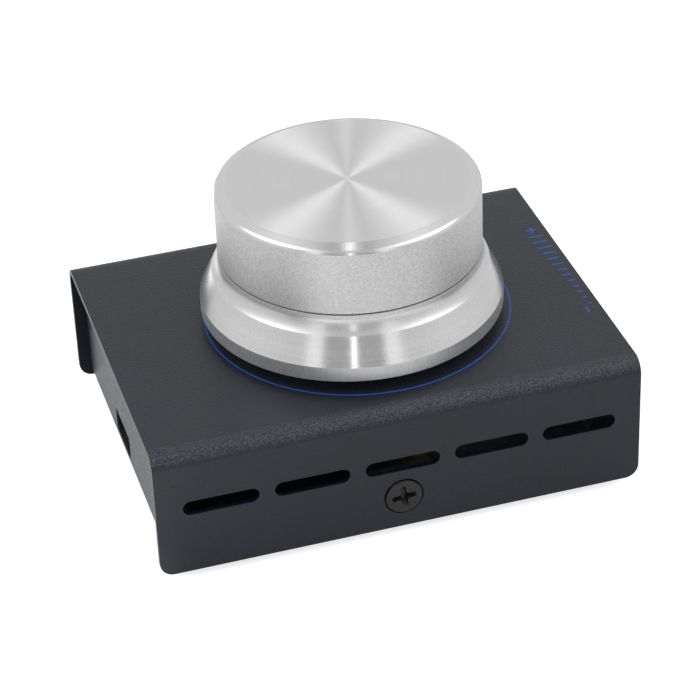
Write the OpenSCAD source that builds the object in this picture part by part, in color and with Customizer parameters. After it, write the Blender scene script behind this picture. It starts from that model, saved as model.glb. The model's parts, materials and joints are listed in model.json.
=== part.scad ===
// Desk volume control: a heavy turned aluminium knob on a folded sheet-metal case.
// The knob turns a detented rotary encoder without end and presses down as a mute button.
// Frame: X runs along the case, the socket end is at -X, the front flange faces -Y,
// Z is up, and the origin is on the desk under the middle of the case.

/* [Case] */
// Length of the cover
case_l = 88; // [84:0.5:110]
// Width of the cover over both flanges
case_w = 66.2; // [64:0.2:90]
// Height of the cover from its lower edge to its top face
case_h = 24.6; // [24:0.1:34]
// Thickness of the cover sheet
cover_t = 1.0; // [0.8:0.1:1.2]
// Outside radius of the two long bends of the cover
cover_bend_r = 2.8; // [1.6:0.1:4]
// Radius of the lower corners of the flanges
flange_corner_r = 2.5; // [1:0.1:4]
// How far the end panels stand back from the ends of the cover
end_recess = 2.3; // [1:0.1:4]
// Thickness of the tray sheet
tray_t = 1.0; // [0.8:0.1:1.2]
// Outside radius of the bends of the tray
tray_bend_r = 1.8; // [1.4:0.1:3]

/* [Vents] */
// Number of slots in each flange
vent_count = 5; // [1:1:5]
// Length of a slot over its round ends
vent_l = 13.5; // [6:0.1:14]
// Height of a slot
vent_h = 2.8; // [1.5:0.1:3.5]
// Distance between the middles of two slots
vent_pitch = 16.25; // [15.5:0.05:16.5]
// Height of the slots above the lower edge of the cover
vent_z = 13.3; // [12.5:0.1:15]

/* [Cover screws] */
// Height of the screws above the lower edge of the cover
screw_z = 6.4; // [6:0.1:7.5]
// Thread diameter of the cover screws
screw_d = 3.0; // [2.5:0.1:3]
// Length of the thread
screw_l = 5.0; // [4:0.1:8]
// Diameter of the flat head
screw_head_d = 6.6; // [5.5:0.1:7]
// Thickness of the flat head
screw_head_t = 1.1; // [0.6:0.05:1.2]
// Angle at which the cross recess of a cover screw has stopped
screw_turn = 7; // [0:1:45]
// Depth of the pressed pad that the head sits in
pad_depth = 0.8; // [0.5:0.05:1]
// Gap between the head and the rim of the pad
pad_gap = 0.3; // [0.15:0.05:0.5]
// Width of the tray tab behind a cover screw
tab_w = 20; // [14:0.5:30]
// Height of the tray tab above the tray's lower face
tab_h = 11; // [10.5:0.1:11.5]
// Outside diameter of the clinch nut
clinch_nut_d = 6.0; // [5:0.1:7]
// Height of the clinch nut
clinch_nut_h = 2.0; // [1.5:0.1:3]

/* [Feet] */
// Diameter of a rubber foot
foot_d = 9; // [6:0.5:12]
// Height of a rubber foot
foot_h = 1.5; // [1:0.1:3]
// Distance of a foot's middle from the end of the cover
foot_inset_x = 9.5; // [9:0.5:14]
// Distance of a foot's middle from the flange of the cover
foot_inset_y = 8.5; // [8:0.5:12]

/* [USB socket] */
// Distance of the socket from the middle of the case, towards the back
usb_y = 4.3; // [-2:0.1:6]
// Height of the socket's middle above the tray's lower face
usb_z = 4.7; // [4.5:0.1:6]
// Width of the socket shell
usb_w = 7.7; // [7.5:0.1:8]
// Height of the socket shell
usb_h = 3.95; // [3.8:0.05:4]
// Depth of the socket shell
usb_l = 9.2; // [8.5:0.1:10]
// Thickness of the shell sheet
usb_t = 0.3; // [0.25:0.05:0.35]
// Width of the opening in the end panel
port_w = 10.8; // [8.5:0.1:12]
// Height of the opening in the end panel
port_h = 4.7; // [4.3:0.1:5]
// Radius of the corners of the opening
port_r = 0.8; // [0.3:0.1:1.5]

/* [Main board] */
// Length of the main board
board_l = 52; // [50:0.5:54]
// Width of the main board
board_w = 37; // [36:0.5:40]
// Thickness of the main board
board_t = 1.6; // [1:0.1:1.6]
// Distance of the board's middle line from the middle of the case, towards the back
board_y = 2.0; // [0:0.1:3]
// Distance of a fixing hole from the two board edges
board_hole_inset = 3.6; // [3.2:0.1:4.5]
// Diameter of a standoff
standoff_d = 5.0; // [4.6:0.1:6]
// Thread diameter of the board screws
board_screw_d = 2.5; // [2:0.1:2.5]
// Thread length of the board screws
board_screw_l = 5.0; // [4:0.1:5.5]
// Distance between two pins of the board-to-board header
header_pitch = 2.54; // [2:0.01:2.54]
// Number of pins of the board-to-board header
header_pins_n = 5; // [3:1:5]

/* [Encoder] */
// Encoder axis, to the right of the middle of the case
knob_x = 1.7; // [0:0.1:2.5]
// Encoder axis, behind the middle of the case
knob_y = 1.1; // [0:0.1:1.5]
// Width of the encoder body along X and Y
enc_w = 12.0; // [11.5:0.1:12.5]
// Height of the encoder body below the cover
enc_h = 6.5; // [6.5:0.1:7]
// Thickness of the metal top plate of the encoder
enc_plate_t = 1.2; // [1:0.1:1.4]
// Outside diameter of the threaded bush
bush_d = 7.0; // [7:0.1:9]
// Length of the threaded bush above the encoder body
bush_l = 7.0; // [5:0.1:7]
// Diameter of the shaft
shaft_d = 6.0; // [5.6:0.1:6]
// Length of the shaft above the encoder body
shaft_l = 20; // [18:0.5:22]
// Thickness left at the flat of the shaft
shaft_flat_t = 4.5; // [4:0.1:5]
// Length of the flat of the shaft
shaft_flat_l = 11.5; // [8:0.5:11.5]
// Width of the encoder nut across its flats
nut_af = 10; // [9:0.5:12]
// Height of the encoder nut
nut_h = 2.0; // [1.5:0.1:2.5]
// Outside diameter of the washer
washer_d = 11.5; // [11:0.5:14]
// Thickness of the washer
washer_t = 0.5; // [0.3:0.1:0.8]
// Number of click positions in a turn
detents = 20; // [12:4:24]
// Travel of the mute button
press_travel = 0.5; // [0.3:0.05:0.5]
// Thickness of the encoder board
enc_board_t = 1.2; // [0.8:0.1:1.6]

/* [Knob] */
// Diameter of the lower rim
rim_d = 54.6; // [52:0.1:58]
// Height of the vertical rim
rim_h = 2.7; // [1.5:0.1:3.5]
// Diameter of the upper cylinder
grip_d = 47.3; // [44:0.1:48]
// How far the hollow curve leads outwards, from the upper cylinder to the sharp edge of the skirt
hollow_w = 1.25; // [0.8:0.05:1.4]
// Height of the knob
knob_h = 24.5; // [22:0.1:28]
// Gap between the knob and the cover
knob_gap = 2.2; // [1.5:0.1:3]
// Height of the sharp edge above the bottom of the knob
skirt_h = 7.7; // [6:0.1:8.5]
// Height of the hollow curve above the sharp edge
hollow_h = 2.6; // [1.5:0.1:3]
// Height of the thin groove above the bottom of the knob
groove_z = 11.3; // [11:0.1:13]
// Width and depth of the thin groove
groove_w = 0.3; // [0.2:0.05:0.5]
// Width of the wide bevel next to the flat spun top
bevel_in_w = 1.5; // [0.8:0.1:2]
// Drop of the wide bevel
bevel_in_h = 0.55; // [0.3:0.05:0.8]
// Width of the narrow bevel outside the wide one
bevel_mid_w = 0.4; // [0.2:0.05:0.6]
// Drop of the narrow bevel
bevel_mid_h = 0.3; // [0.15:0.05:0.5]
// Width of the steep edge that meets the upper cylinder
bevel_out_w = 0.25; // [0.1:0.05:0.4]
// Drop of the steep edge
bevel_out_h = 0.45; // [0.2:0.05:0.8]
// Diameter of the recess under the knob
recess_d = 42; // [30:0.5:44]
// Depth of the recess under the knob
recess_h = 5.2; // [5.2:0.1:6]
// Diameter of the plastic hub
hub_d = 14; // [11:0.5:18]

/* [Clearances] */
// Gap between parts that turn or slide in each other
run_gap = 0.05; // [0.03:0.01:0.08]
// Gap round parts that are pressed, screwed or soldered in place
fit_gap = 0.03; // [0.02:0.01:0.05]
// Gap round screws and pins in their clearance holes
hole_gap = 0.2; // [0.1:0.05:0.3]
// Gap between the tray and the inside of the cover
tray_gap = 0.2; // [0.1:0.05:0.4]

/* [Hidden] */
$fn = 96;
cut = 0.5;                                   // overshoot of cutting shapes

// Levels, from the desk upwards
tray_z = foot_h;                             // lower face of the tray and lower edge of the cover
cover_z = tray_z + case_h;                   // top face of the cover
seat_z = cover_z - cover_t;                  // underside of the cover, where the encoder seats
enc_z = seat_z - enc_h;                      // top face of the encoder board
usb_mid_z = tray_z + usb_z;
board_z = usb_mid_z + usb_h / 2;             // underside of the main board
board_top_z = board_z + board_t;
knob_z = cover_z + knob_gap;                 // bottom of the knob
knob_top_z = knob_z + knob_h;
hub_z = knob_z + recess_h;                   // ceiling of the recess under the knob
shaft_top_z = seat_z + shaft_l;

// Tray
tray_end_x = case_l / 2 - end_recess;        // outer face of an end panel
tray_side_y = case_w / 2 - cover_t - tray_gap;
tray_top_z = seat_z - tray_gap;
tab_y = case_w / 2 - cover_t - pad_depth;    // outer face of a tab, against the pressed pad
pad_d = screw_head_d + 2 * pad_gap;
tab_relief = 1;

// Feet
foot_edge = 0.4;                             // slope round the lower face of a foot

// Main board
usb_mouth_x = -tray_end_x + tray_t + tray_gap;
board_setback = 0.8;                         // end of the board behind the socket's mouth
board_x0 = usb_mouth_x + board_setback;
board_mid_x = board_x0 + board_l / 2;
standoff_step = 0.6;                         // shoulder of a standoff on the tray
standoff_spigot_d = standoff_d - 2 * standoff_step;
board_screw_head_d = board_screw_d * 1.8;
board_screw_head_h = board_screw_d * 0.6;

// USB socket
usb_leg_x = [usb_mouth_x + usb_l * 0.35, usb_mouth_x + usb_l * 0.85];
usb_leg_w = 1.2;
usb_leg_tip = 0.3;                           // how far a leg stands above the board
usb_back_x = usb_mouth_x + usb_l;
usb_step_h = 0.12 * usb_h;                   // where the outline starts to narrow, above its middle
usb_narrow_w = 0.78 * usb_w;                 // width of the narrow side
tongue_back_l = 3.2;                         // plastic body behind the tongue
tongue_setback = 1.0;                        // tip of the tongue behind the socket's mouth
tongue_body_x = usb_back_x - usb_t - fit_gap - tongue_back_l;
tongue_w = 4.2;
tongue_t = 0.9;
contacts_n = 5;
contact_pitch = 0.8;
contact_w = 0.35;
contact_strip_t = 0.12;
contact_setback = 1.7;                       // tip of a contact behind the socket's mouth
contact_end_gap = 0.3;                       // between a contact and the plastic body
tail_l = 1.6;                                // tail of a contact under the board
tail_t = 0.2;
tail_start = 0.2;                            // start of a tail inside the back wall
tail_window_h = 1.0;
tail_window_rim = 0.5;                       // room beside the outer tails

// Pieces on the main board
chip_x = board_mid_x + 2;
chip_size = [17.5, 7.5, 2.2];
chip_gap = 0.1;                              // between the chip's body and the board
chip_leads_n = 12;                           // leads on each side
chip_lead_pitch = 1.27;
chip_lead = [0.45, 1.4, 0.25];
crystal_size = [10.5, 4.2, 3.4];
crystal_inset = [16, 8];                     // middle, from the socket end and the front edge
capacitor_d = 5;
capacitor_h = 6.2;
capacitor_crown_h = 0.4;                     // rolled edge of the can
capacitor_inset = [14, 7];                   // middle, from the socket end and the back edge
small_chips_n = 6;
small_chip = [2, 1.25, 0.6];
small_chip_pitch = 3;
small_chip_gap = 4.5;                        // from the chip to the middle of the row

// Encoder, from the shaft's lower end upwards
floor_t = 0.6;                               // floor of the housing
dome_z = enc_z + floor_t;
dome_r = 2.3;
dome_h = 0.7;
dome_t = 0.1;
plunger_z = dome_z + dome_h + run_gap;
plunger_t = 0.5;
plunger_r = 2.4;
plunger_side_gap = 0.2;
chamber_r = plunger_r + plunger_side_gap;    // switch chamber in the housing
shaft_end_z = plunger_z + plunger_t;
wheel_floor_step = 0.4;                      // from the shaft's end up to the wheel's floor
wheel_floor_z = shaft_end_z + wheel_floor_step;
contact_t = 0.15;                            // metal disc under the code wheel
contact_rim = 0.3;                           // disc's edge inside the wheel's edge
contact_bore_gap = 0.1;
wheel_z = wheel_floor_z + run_gap + contact_t;
wheel_wall = 1.3;                            // from the wheel's edge to the housing's side
wheel_r = enc_w / 2 - wheel_wall;
wheel_side_gap = 0.3;
wheel_well_r = wheel_r + wheel_side_gap;
plate_z = seat_z - enc_plate_t;              // underside of the metal plate
clip_t = 0.3;
clip_rim = 0.5;                              // how far the clip stands out of the shaft
clip_groove = 0.4;                           // depth of its groove
clip_mouth = 1.6;                            // width of its open side
clip_r = shaft_d / 2 + clip_rim;
clip_z = plate_z - run_gap - clip_t;
drive_r = 2.0;                               // lower end of the shaft, with two flats
drive_af = 3.0;
drive_gap = 0.2;                             // from the top of the flats up to the clip
drive_top_z = clip_z - drive_gap;
wheel_top_gap = 0.15;                        // left over the wheel when the knob is pressed
wheel_top_z = drive_top_z - press_travel - wheel_top_gap;
shaft_chamfer = 0.5;
spring_t = 0.2;
spring_tip_w = 0.5;
spring_clip_gap = 0.3;
spring_r_in = clip_r + spring_clip_gap;
notch_depth = 0.3;
notch_w = 0.5;
lead_t = 0.15;
lead_w = 0.8;
lead_pitch = 2.5;
lead_out = 1.4;                              // how far a lead stands out of the housing
lead_tip = 1.2;                              // how far a lead stands below the encoder board
contact_lead_in = 1.2;                       // how far a contact lead reaches under the wheel
switch_lead_in = 0.8;                        // how far a switch lead reaches under the dome
lead_open = 0.01;                            // keeps a lead's slot open at the floor
clamp_t = 0.3;
clamp_w = 4;
clamp_top_gap = 0.1;
clamp_tip = 0.5;                             // how far the strap stands below the encoder board
bore_r = shaft_d / 2 + run_gap;
lug_inset = 1.1;
lug_y = enc_w / 2 - lug_inset;               // key lug that stops the encoder from turning
lug_size = [2.0, 1.0];
lug_h = 0.8 * cover_t;
nut_z = cover_z + washer_t;
nut_chamfer = 1.1;                           // circle that trims the nut's corners, to its flats

// Encoder board and header
enc_board_z = enc_z - enc_board_t;
enc_board_rim = [3, 4, 7];                   // beyond the encoder body: sides, front, back
enc_board_side = enc_w / 2 + enc_board_rim[0];
enc_board_front = enc_w / 2 + enc_board_rim[1];
enc_board_back = enc_w / 2 + enc_board_rim[2];
header_offset = 4.6;                         // header behind the encoder body
header_y = knob_y + enc_w / 2 + header_offset;
header_l = header_pins_n * header_pitch;
header_d = 2.5;                              // depth of both header bodies along Y
header_pin_w = 0.6;
header_pin_tip = 0.5;                        // how far a pin stands above the encoder board
header_pin_z = board_top_z + 1.0;            // lower end of a pin, in the socket
header_well_floor = 0.6;
header_plug_h = 2.5;
plug_z = enc_board_z - header_plug_h;
socket_h = plug_z - run_gap - board_top_z;

// Knob
rim_r = rim_d / 2;
grip_r = grip_d / 2;
skirt_top_r = grip_r + hollow_w;
bevel_mid_r = grip_r - bevel_out_w;          // outer edge of the narrow bevel
bevel_mid_z = knob_h - bevel_in_h - bevel_mid_h;
top_r = bevel_mid_r - bevel_mid_w - bevel_in_w;
hub_r = hub_d / 2;
hub_end_t = 1.2;                             // plastic over the end of the shaft
hub_h = shaft_top_z - hub_z + hub_end_t;
shaft_end_gap = 0.2;                         // between the shaft's end and the hub
key_w = 2;
key_h = 1;
// the hollow leaves the grip upright and turns outwards by this angle
hollow_turn = 2 * atan(hollow_w / hollow_h);
hollow_r = hollow_h / sin(hollow_turn);
hollow_steps = 16;

corners = [[-1, -1], [1, -1], [-1, 1], [1, 1]];

// ---- shared shapes ----

// upright plate with rounded upper corners, standing on the 2D X axis
module round_top_2d(w, h, r) {
    translate([-w / 2, 0]) square([w, h - r]);
    translate([-w / 2 + r, 0]) square([w - 2 * r, h]);
    for (s = [-1, 1]) translate([s * (w / 2 - r), h - r]) circle(r);
}

// sheet folded into an upside-down U
module channel_2d(w, h, t, r) {
    difference() {
        round_top_2d(w, h, r);
        translate([0, -cut]) round_top_2d(w - 2 * t, h - t + cut, r - t);
    }
}

// quarter turn and two legs of bent sheet, outer corner at the origin
module angle_2d(leg_x, leg_y, t, r) {
    difference() {
        angle_solid_2d(leg_x, leg_y, r);
        translate([t, t]) angle_solid_2d(leg_x, leg_y, r - t);
    }
}

module angle_solid_2d(w, h, r) {
    translate([r, 0]) square([w - r, h]);
    translate([0, r]) square([w, h - r]);
    translate([r, r]) circle(r);
}

// box from its middle in X and Y and its lower face
module block(x, y, z, size) {
    translate([x - size[0] / 2, y - size[1] / 2, z]) cube(size);
}

module tube(r_out, r_in, h) {
    difference() {
        cylinder(r = r_out, h = h);
        translate([0, 0, -cut]) cylinder(r = r_in, h = h + 2 * cut);
    }
}

// cylinder along +Y from y0
module rod_y(x, y0, z, r, l) {
    translate([x, y0, z]) rotate([-90, 0, 0]) cylinder(r = r, h = l);
}

// places its children at the encoder axis
module at_knob(z = 0) {
    translate([knob_x, knob_y, z]) children();
}

module at_board_hole(i, z = 0) {
    translate([
        board_mid_x + corners[i][0] * (board_l / 2 - board_hole_inset),
        board_y + corners[i][1] * (board_w / 2 - board_hole_inset),
        z
    ]) children();
}

module foot_place(i) {
    translate([
        corners[i][0] * (case_l / 2 - foot_inset_x),
        corners[i][1] * (case_w / 2 - foot_inset_y),
        0
    ]) children();
}

// repeats its children on the front (side -1) and the back (side 1) of the case
module on_side(side) {
    mirror([0, side > 0 ? 1 : 0, 0]) children();
}

// ---- case ----

module top_cover() {
    color([0.16, 0.165, 0.18]) difference() {
        union() {
            translate([0, 0, tray_z]) rotate([90, 0, 90])
                linear_extrude(height = case_l, center = true)
                    channel_2d(case_w, case_h, cover_t, cover_bend_r);
            for (side = [-1, 1]) on_side(side)
                rod_y(0, -case_w / 2 + cover_t / 2, tray_z + screw_z,
                    pad_d / 2 + cover_t, cover_t / 2 + pad_depth);
        }
        for (side = [-1, 1]) on_side(side) {
            rod_y(0, -case_w / 2 - cut, tray_z + screw_z, pad_d / 2, pad_depth + cut);
            rod_y(0, -case_w / 2, tray_z + screw_z, screw_d / 2 + hole_gap, cover_t + pad_depth + cut);
        }
        for (i = [0 : vent_count - 1]) vent_cut((i - (vent_count - 1) / 2) * vent_pitch);
        for (side = [-1, 1]) flange_corner_cut(side);
        at_knob(seat_z - cut) cylinder(d = bush_d + 2 * hole_gap, h = cover_t + 2 * cut);
        block(knob_x, knob_y + lug_y, seat_z - cut,
            [lug_size[0] + 2 * hole_gap, lug_size[1] + 2 * hole_gap, cover_t + 2 * cut]);
    }
}

// round-ended slot through both flanges
module vent_cut(x) {
    reach = (vent_l - vent_h) / 2;
    y0 = -case_w / 2 - cut;
    depth = case_w + 2 * cut;
    for (s = [-1, 1]) rod_y(x + s * reach, y0, tray_z + vent_z, vent_h / 2, depth);
    translate([x - reach, y0, tray_z + vent_z - vent_h / 2]) cube([2 * reach, depth, vent_h]);
}

// rounds the lower corner of both flanges at one end of the cover
module flange_corner_cut(side) {
    r = flange_corner_r;
    mirror([side > 0 ? 1 : 0, 0, 0]) difference() {
        translate([-case_l / 2 - cut, -case_w / 2 - cut, tray_z - cut])
            cube([r + cut, case_w + 2 * cut, r + cut]);
        rod_y(-case_l / 2 + r, -case_w / 2 - 2 * cut, tray_z + r, r, case_w + 4 * cut);
    }
}

module base_tray() {
    notch_w = tab_w + 2 * tab_relief;
    notch_y = tray_side_y - (tab_y - tray_bend_r) + cut;
    color([0.17, 0.17, 0.18]) difference() {
        union() {
            difference() {
                translate([0, 0, tray_top_z]) rotate([-90, 0, 0])
                    linear_extrude(height = 2 * tray_side_y, center = true)
                        channel_2d(2 * tray_end_x, tray_top_z - tray_z, tray_t, tray_bend_r);
                for (side = [-1, 1]) on_side(side)
                    translate([-notch_w / 2, -tray_side_y - cut, tray_z - cut])
                        cube([notch_w, notch_y, tray_t + 2 * cut]);
            }
            for (side = [-1, 1]) on_side(side)
                translate([0, -tab_y, tray_z]) rotate([90, 0, 90])
                    linear_extrude(height = tab_w, center = true)
                        angle_2d(tray_bend_r + tab_relief, tab_h, tray_t, tray_bend_r);
        }
        for (side = [-1, 1]) on_side(side)
            rod_y(0, -tab_y - cut, tray_z + screw_z, screw_d / 2 + hole_gap, tray_t + 2 * cut);
        for (i = [0 : 3]) at_board_hole(i, tray_z - cut)
            cylinder(d = standoff_spigot_d + 2 * fit_gap, h = tray_t + 2 * cut);
        for (side = [-1, 1]) on_side(side) panel_corner_cut();
        port_cut();
    }
}

// rounds the upper front corner of both end panels to follow the inside of the cover's bend
module panel_corner_cut() {
    r = cover_bend_r - cover_t - tray_gap;
    difference() {
        translate([-tray_end_x - cut, -tray_side_y - cut, tray_top_z - r])
            cube([2 * (tray_end_x + cut), r + cut, r + cut]);
        translate([-tray_end_x - 2 * cut, -tray_side_y + r, tray_top_z - r]) rotate([0, 90, 0])
            cylinder(r = r, h = 2 * tray_end_x + 4 * cut);
    }
}

// opening in the end panel in front of the socket
module port_cut() {
    depth = tray_t + 2 * cut;
    translate([-tray_end_x - cut, usb_y, usb_mid_z]) rotate([90, 0, 90])
        linear_extrude(height = depth) round_slot_2d(port_w, port_h, port_r);
}

// rectangle with four round corners about the origin
module round_slot_2d(w, h, r) {
    square([w - 2 * r, h], center = true);
    square([w, h - 2 * r], center = true);
    for (sx = [-1, 1], sy = [-1, 1])
        translate([sx * (w / 2 - r), sy * (h / 2 - r)]) circle(r);
}

module foot(i) {
    color([0.06, 0.06, 0.065]) foot_place(i) {
        cylinder(d1 = foot_d - 2 * foot_edge, d2 = foot_d, h = foot_edge);
        translate([0, 0, foot_edge]) cylinder(d = foot_d, h = foot_h - foot_edge);
    }
}

module cover_screw(side) {
    seat = -case_w / 2 + pad_depth;
    head_z = tray_z + screw_z;
    color([0.12, 0.12, 0.13]) on_side(side) difference() {
        union() {
            rod_y(0, seat - screw_head_t, head_z, screw_head_d / 2, screw_head_t);
            rod_y(0, seat, head_z, screw_d / 2, screw_l);
        }
        cross_cut(seat - screw_head_t, head_z);
    }
}

// cross recess in a screw head that faces -Y
module cross_cut(face_y, z) {
    arm = screw_head_d * 0.3;
    slot = screw_head_d * 0.1;
    depth = screw_head_t * 1.2;
    for (a = [0, 90]) translate([0, face_y, z]) rotate([0, a - screw_turn, 0])
        translate([-arm, -cut, -slot / 2]) cube([2 * arm, depth + cut, slot]);
    rod_y(0, face_y - cut, z, slot, depth + cut);
}

module clinch_nut(side) {
    color([0.7, 0.7, 0.68]) on_side(side)
        translate([0, -tab_y + tray_t, tray_z + screw_z]) rotate([-90, 0, 0])
            tube(clinch_nut_d / 2, screw_d / 2 + fit_gap, clinch_nut_h);
}

// ---- main board ----

module main_board() {
    color([0.1, 0.35, 0.2]) difference() {
        translate([board_x0, board_y - board_w / 2, board_z]) cube([board_l, board_w, board_t]);
        for (i = [0 : 3]) at_board_hole(i, board_z - cut)
            cylinder(d = board_screw_d + 2 * hole_gap, h = board_t + 2 * cut);
        for (x = usb_leg_x, s = [-1, 1])
            block(x, usb_y + s * (usb_w / 2 - usb_t / 2), board_z - cut,
                [usb_leg_w + 2 * hole_gap, usb_t + 2 * hole_gap, board_t + 2 * cut]);
    }
}

module standoff(i) {
    h = board_z - tray_z - tray_t;
    color([0.72, 0.7, 0.6]) difference() {
        union() {
            at_board_hole(i, tray_z + tray_t) cylinder(d = standoff_d, h = h);
            at_board_hole(i, tray_z) cylinder(d = standoff_spigot_d, h = tray_t + h / 2);
        }
        at_board_hole(i, board_z - h + cut) cylinder(d = board_screw_d + 2 * fit_gap, h = h);
    }
}

module board_screw(i) {
    slot = board_screw_d * 0.2;
    depth = board_screw_head_h * 0.6;
    color([0.75, 0.75, 0.76]) at_board_hole(i, board_top_z) difference() {
        union() {
            cylinder(d = board_screw_head_d, h = board_screw_head_h);
            translate([0, 0, -board_screw_l]) cylinder(d = board_screw_d, h = board_screw_l + cut);
        }
        for (a = [0, 90]) rotate([0, 0, a]) translate([0, 0, board_screw_head_h - depth])
            block(0, 0, 0, [board_screw_head_d * 0.6, slot, depth + cut]);
    }
}

// outline of the socket, set in by g all round; its narrow side is towards the board
function usb_outline(g) =
    let (w = usb_w / 2 - g, h = usb_h / 2 - g, narrow = usb_narrow_w / 2 - g)
    [[-w, -h], [w, -h], [w, usb_step_h], [narrow, h], [-narrow, h], [-w, usb_step_h]];

module usb_block(x0, l, g) {
    translate([x0, usb_y, usb_mid_z]) rotate([90, 0, 90])
        linear_extrude(height = l) polygon(usb_outline(g));
}

module usb_shell() {
    color([0.78, 0.78, 0.76]) {
        difference() {
            usb_block(usb_mouth_x, usb_l, 0);
            usb_block(usb_mouth_x - cut, usb_l - usb_t + cut, usb_t);
            usb_tail_window();
        }
        for (x = usb_leg_x, s = [-1, 1])
            block(x, usb_y + s * (usb_w / 2 - usb_t / 2), usb_mid_z,
                [usb_leg_w, usb_t, usb_h / 2 + board_t + usb_leg_tip]);
    }
}

// gap in the back wall that lets the contact tails out to the board
module usb_tail_window() {
    block(usb_back_x, usb_y, usb_mid_z + usb_h / 2 - tail_window_h,
        [4 * usb_t, (contacts_n - 1) * contact_pitch + 2 * tail_window_rim, tail_window_h + cut]);
}

module usb_tongue() {
    color([0.1, 0.1, 0.11]) {
        usb_block(tongue_body_x, tongue_back_l, usb_t + fit_gap);
        translate([usb_mouth_x + tongue_setback, usb_y - tongue_w / 2, usb_mid_z - tongue_t / 2])
            cube([tongue_body_x - usb_mouth_x - tongue_setback + cut, tongue_w, tongue_t]);
    }
}

// contact strips on the tongue, and their tails soldered under the board behind the socket
module usb_contacts() {
    strip_x = usb_mouth_x + contact_setback;
    strip_l = tongue_body_x - contact_end_gap - strip_x;
    color([0.85, 0.68, 0.3]) for (i = [0 : contacts_n - 1]) {
        y0 = usb_y + (i - (contacts_n - 1) / 2) * contact_pitch - contact_w / 2;
        translate([strip_x, y0, usb_mid_z + tongue_t / 2]) cube([strip_l, contact_w, contact_strip_t]);
        translate([usb_back_x - tail_start, y0, board_z - tail_t]) cube([tail_l, contact_w, tail_t]);
    }
}

module controller_chip() {
    color([0.09, 0.09, 0.1])
        block(chip_x, board_y, board_z - chip_gap - chip_size[2], chip_size);
}

module chip_leads() {
    color([0.78, 0.78, 0.78])
        for (i = [0 : chip_leads_n - 1], s = [-1, 1])
            block(chip_x + (i - (chip_leads_n - 1) / 2) * chip_lead_pitch,
                board_y + s * (chip_size[1] + chip_lead[1]) / 2, board_z - chip_lead[2], chip_lead);
}

module crystal_can() {
    can_d = crystal_size[1];
    flat_l = crystal_size[0] - can_d;
    color([0.8, 0.8, 0.79])
        translate([board_x0 + crystal_inset[0], board_y - board_w / 2 + crystal_inset[1], board_top_z]) {
            block(0, 0, 0, [flat_l, can_d, crystal_size[2]]);
            for (s = [-1, 1]) translate([s * flat_l / 2, 0, 0]) cylinder(d = can_d, h = crystal_size[2]);
        }
}

module bulk_capacitor() {
    x = board_x0 + capacitor_inset[0];
    y = board_y + board_w / 2 - capacitor_inset[1];
    crown = capacitor_crown_h;
    color([0.12, 0.16, 0.3]) translate([x, y, board_top_z]) {
        cylinder(d = capacitor_d, h = capacitor_h);
        translate([0, 0, capacitor_h])
            cylinder(d1 = capacitor_d, d2 = capacitor_d - 2 * crown, h = crown);
    }
}

// row of small soldered resistors and capacitors under the board
module small_chips() {
    row_y = board_y - chip_size[1] / 2 - small_chip_gap;
    color([0.5, 0.38, 0.26]) for (i = [0 : small_chips_n - 1])
        block(chip_x + (i - (small_chips_n - 1) / 2) * small_chip_pitch, row_y,
            board_z - small_chip[2], small_chip);
}

// ---- board-to-board header ----

function header_pin_x(i) = knob_x + (i - (header_pins_n - 1) / 2) * header_pitch;

module header_socket() {
    well = header_pin_w + 2 * hole_gap;
    color([0.1, 0.1, 0.11]) difference() {
        block(knob_x, header_y, board_top_z, [header_l, header_d, socket_h]);
        for (i = [0 : header_pins_n - 1])
            block(header_pin_x(i), header_y, board_top_z + header_well_floor, [well, well, socket_h]);
    }
}

module header_plug() {
    hole = header_pin_w + 2 * fit_gap;
    color([0.1, 0.1, 0.11]) difference() {
        block(knob_x, header_y, plug_z, [header_l, header_d, header_plug_h]);
        for (i = [0 : header_pins_n - 1])
            block(header_pin_x(i), header_y, plug_z - cut, [hole, hole, header_plug_h + 2 * cut]);
    }
}

module header_pins() {
    pin_l = enc_z + header_pin_tip - header_pin_z;
    color([0.85, 0.68, 0.3]) for (i = [0 : header_pins_n - 1])
        block(header_pin_x(i), header_y, header_pin_z, [header_pin_w, header_pin_w, pin_l]);
}

// ---- encoder ----

module encoder_board() {
    hole = header_pin_w + 2 * fit_gap;
    color([0.1, 0.35, 0.2]) difference() {
        translate([knob_x - enc_board_side, knob_y - enc_board_front, enc_board_z])
            cube([2 * enc_board_side, enc_board_front + enc_board_back, enc_board_t]);
        for (i = [0 : header_pins_n - 1])
            block(header_pin_x(i), header_y, enc_board_z - cut, [hole, hole, enc_board_t + 2 * cut]);
        at_knob(enc_board_z - cut) {
            for (i = [-1 : 1]) lead_hole(i * lead_pitch, -enc_w / 2 - lead_out + lead_t / 2);
            for (i = [-1, 1]) lead_hole(i * lead_pitch, enc_w / 2 + lead_out - lead_t / 2);
            for (s = [-1, 1]) block(s * (enc_w / 2 + clamp_t / 2), 0, 0,
                [clamp_t + 2 * hole_gap, clamp_w / 2 + 2 * hole_gap, enc_board_t + 2 * cut]);
        }
    }
}

module lead_hole(x, y) {
    block(x, y, 0, [lead_w + hole_gap, lead_t + 2 * hole_gap, enc_board_t + 2 * cut]);
}

// die-cast top plate with the threaded bush and its key lug
module encoder_bush() {
    color([0.74, 0.74, 0.72]) at_knob() difference() {
        union() {
            block(0, 0, plate_z, [enc_w, enc_w, enc_plate_t]);
            translate([0, 0, seat_z - cut]) cylinder(d = bush_d, h = bush_l + cut);
            block(0, lug_y, seat_z - cut, [lug_size[0], lug_size[1], cut + lug_h]);
        }
        translate([0, 0, plate_z - cut]) cylinder(r = bore_r, h = enc_plate_t + bush_l + 2 * cut);
    }
}

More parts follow.
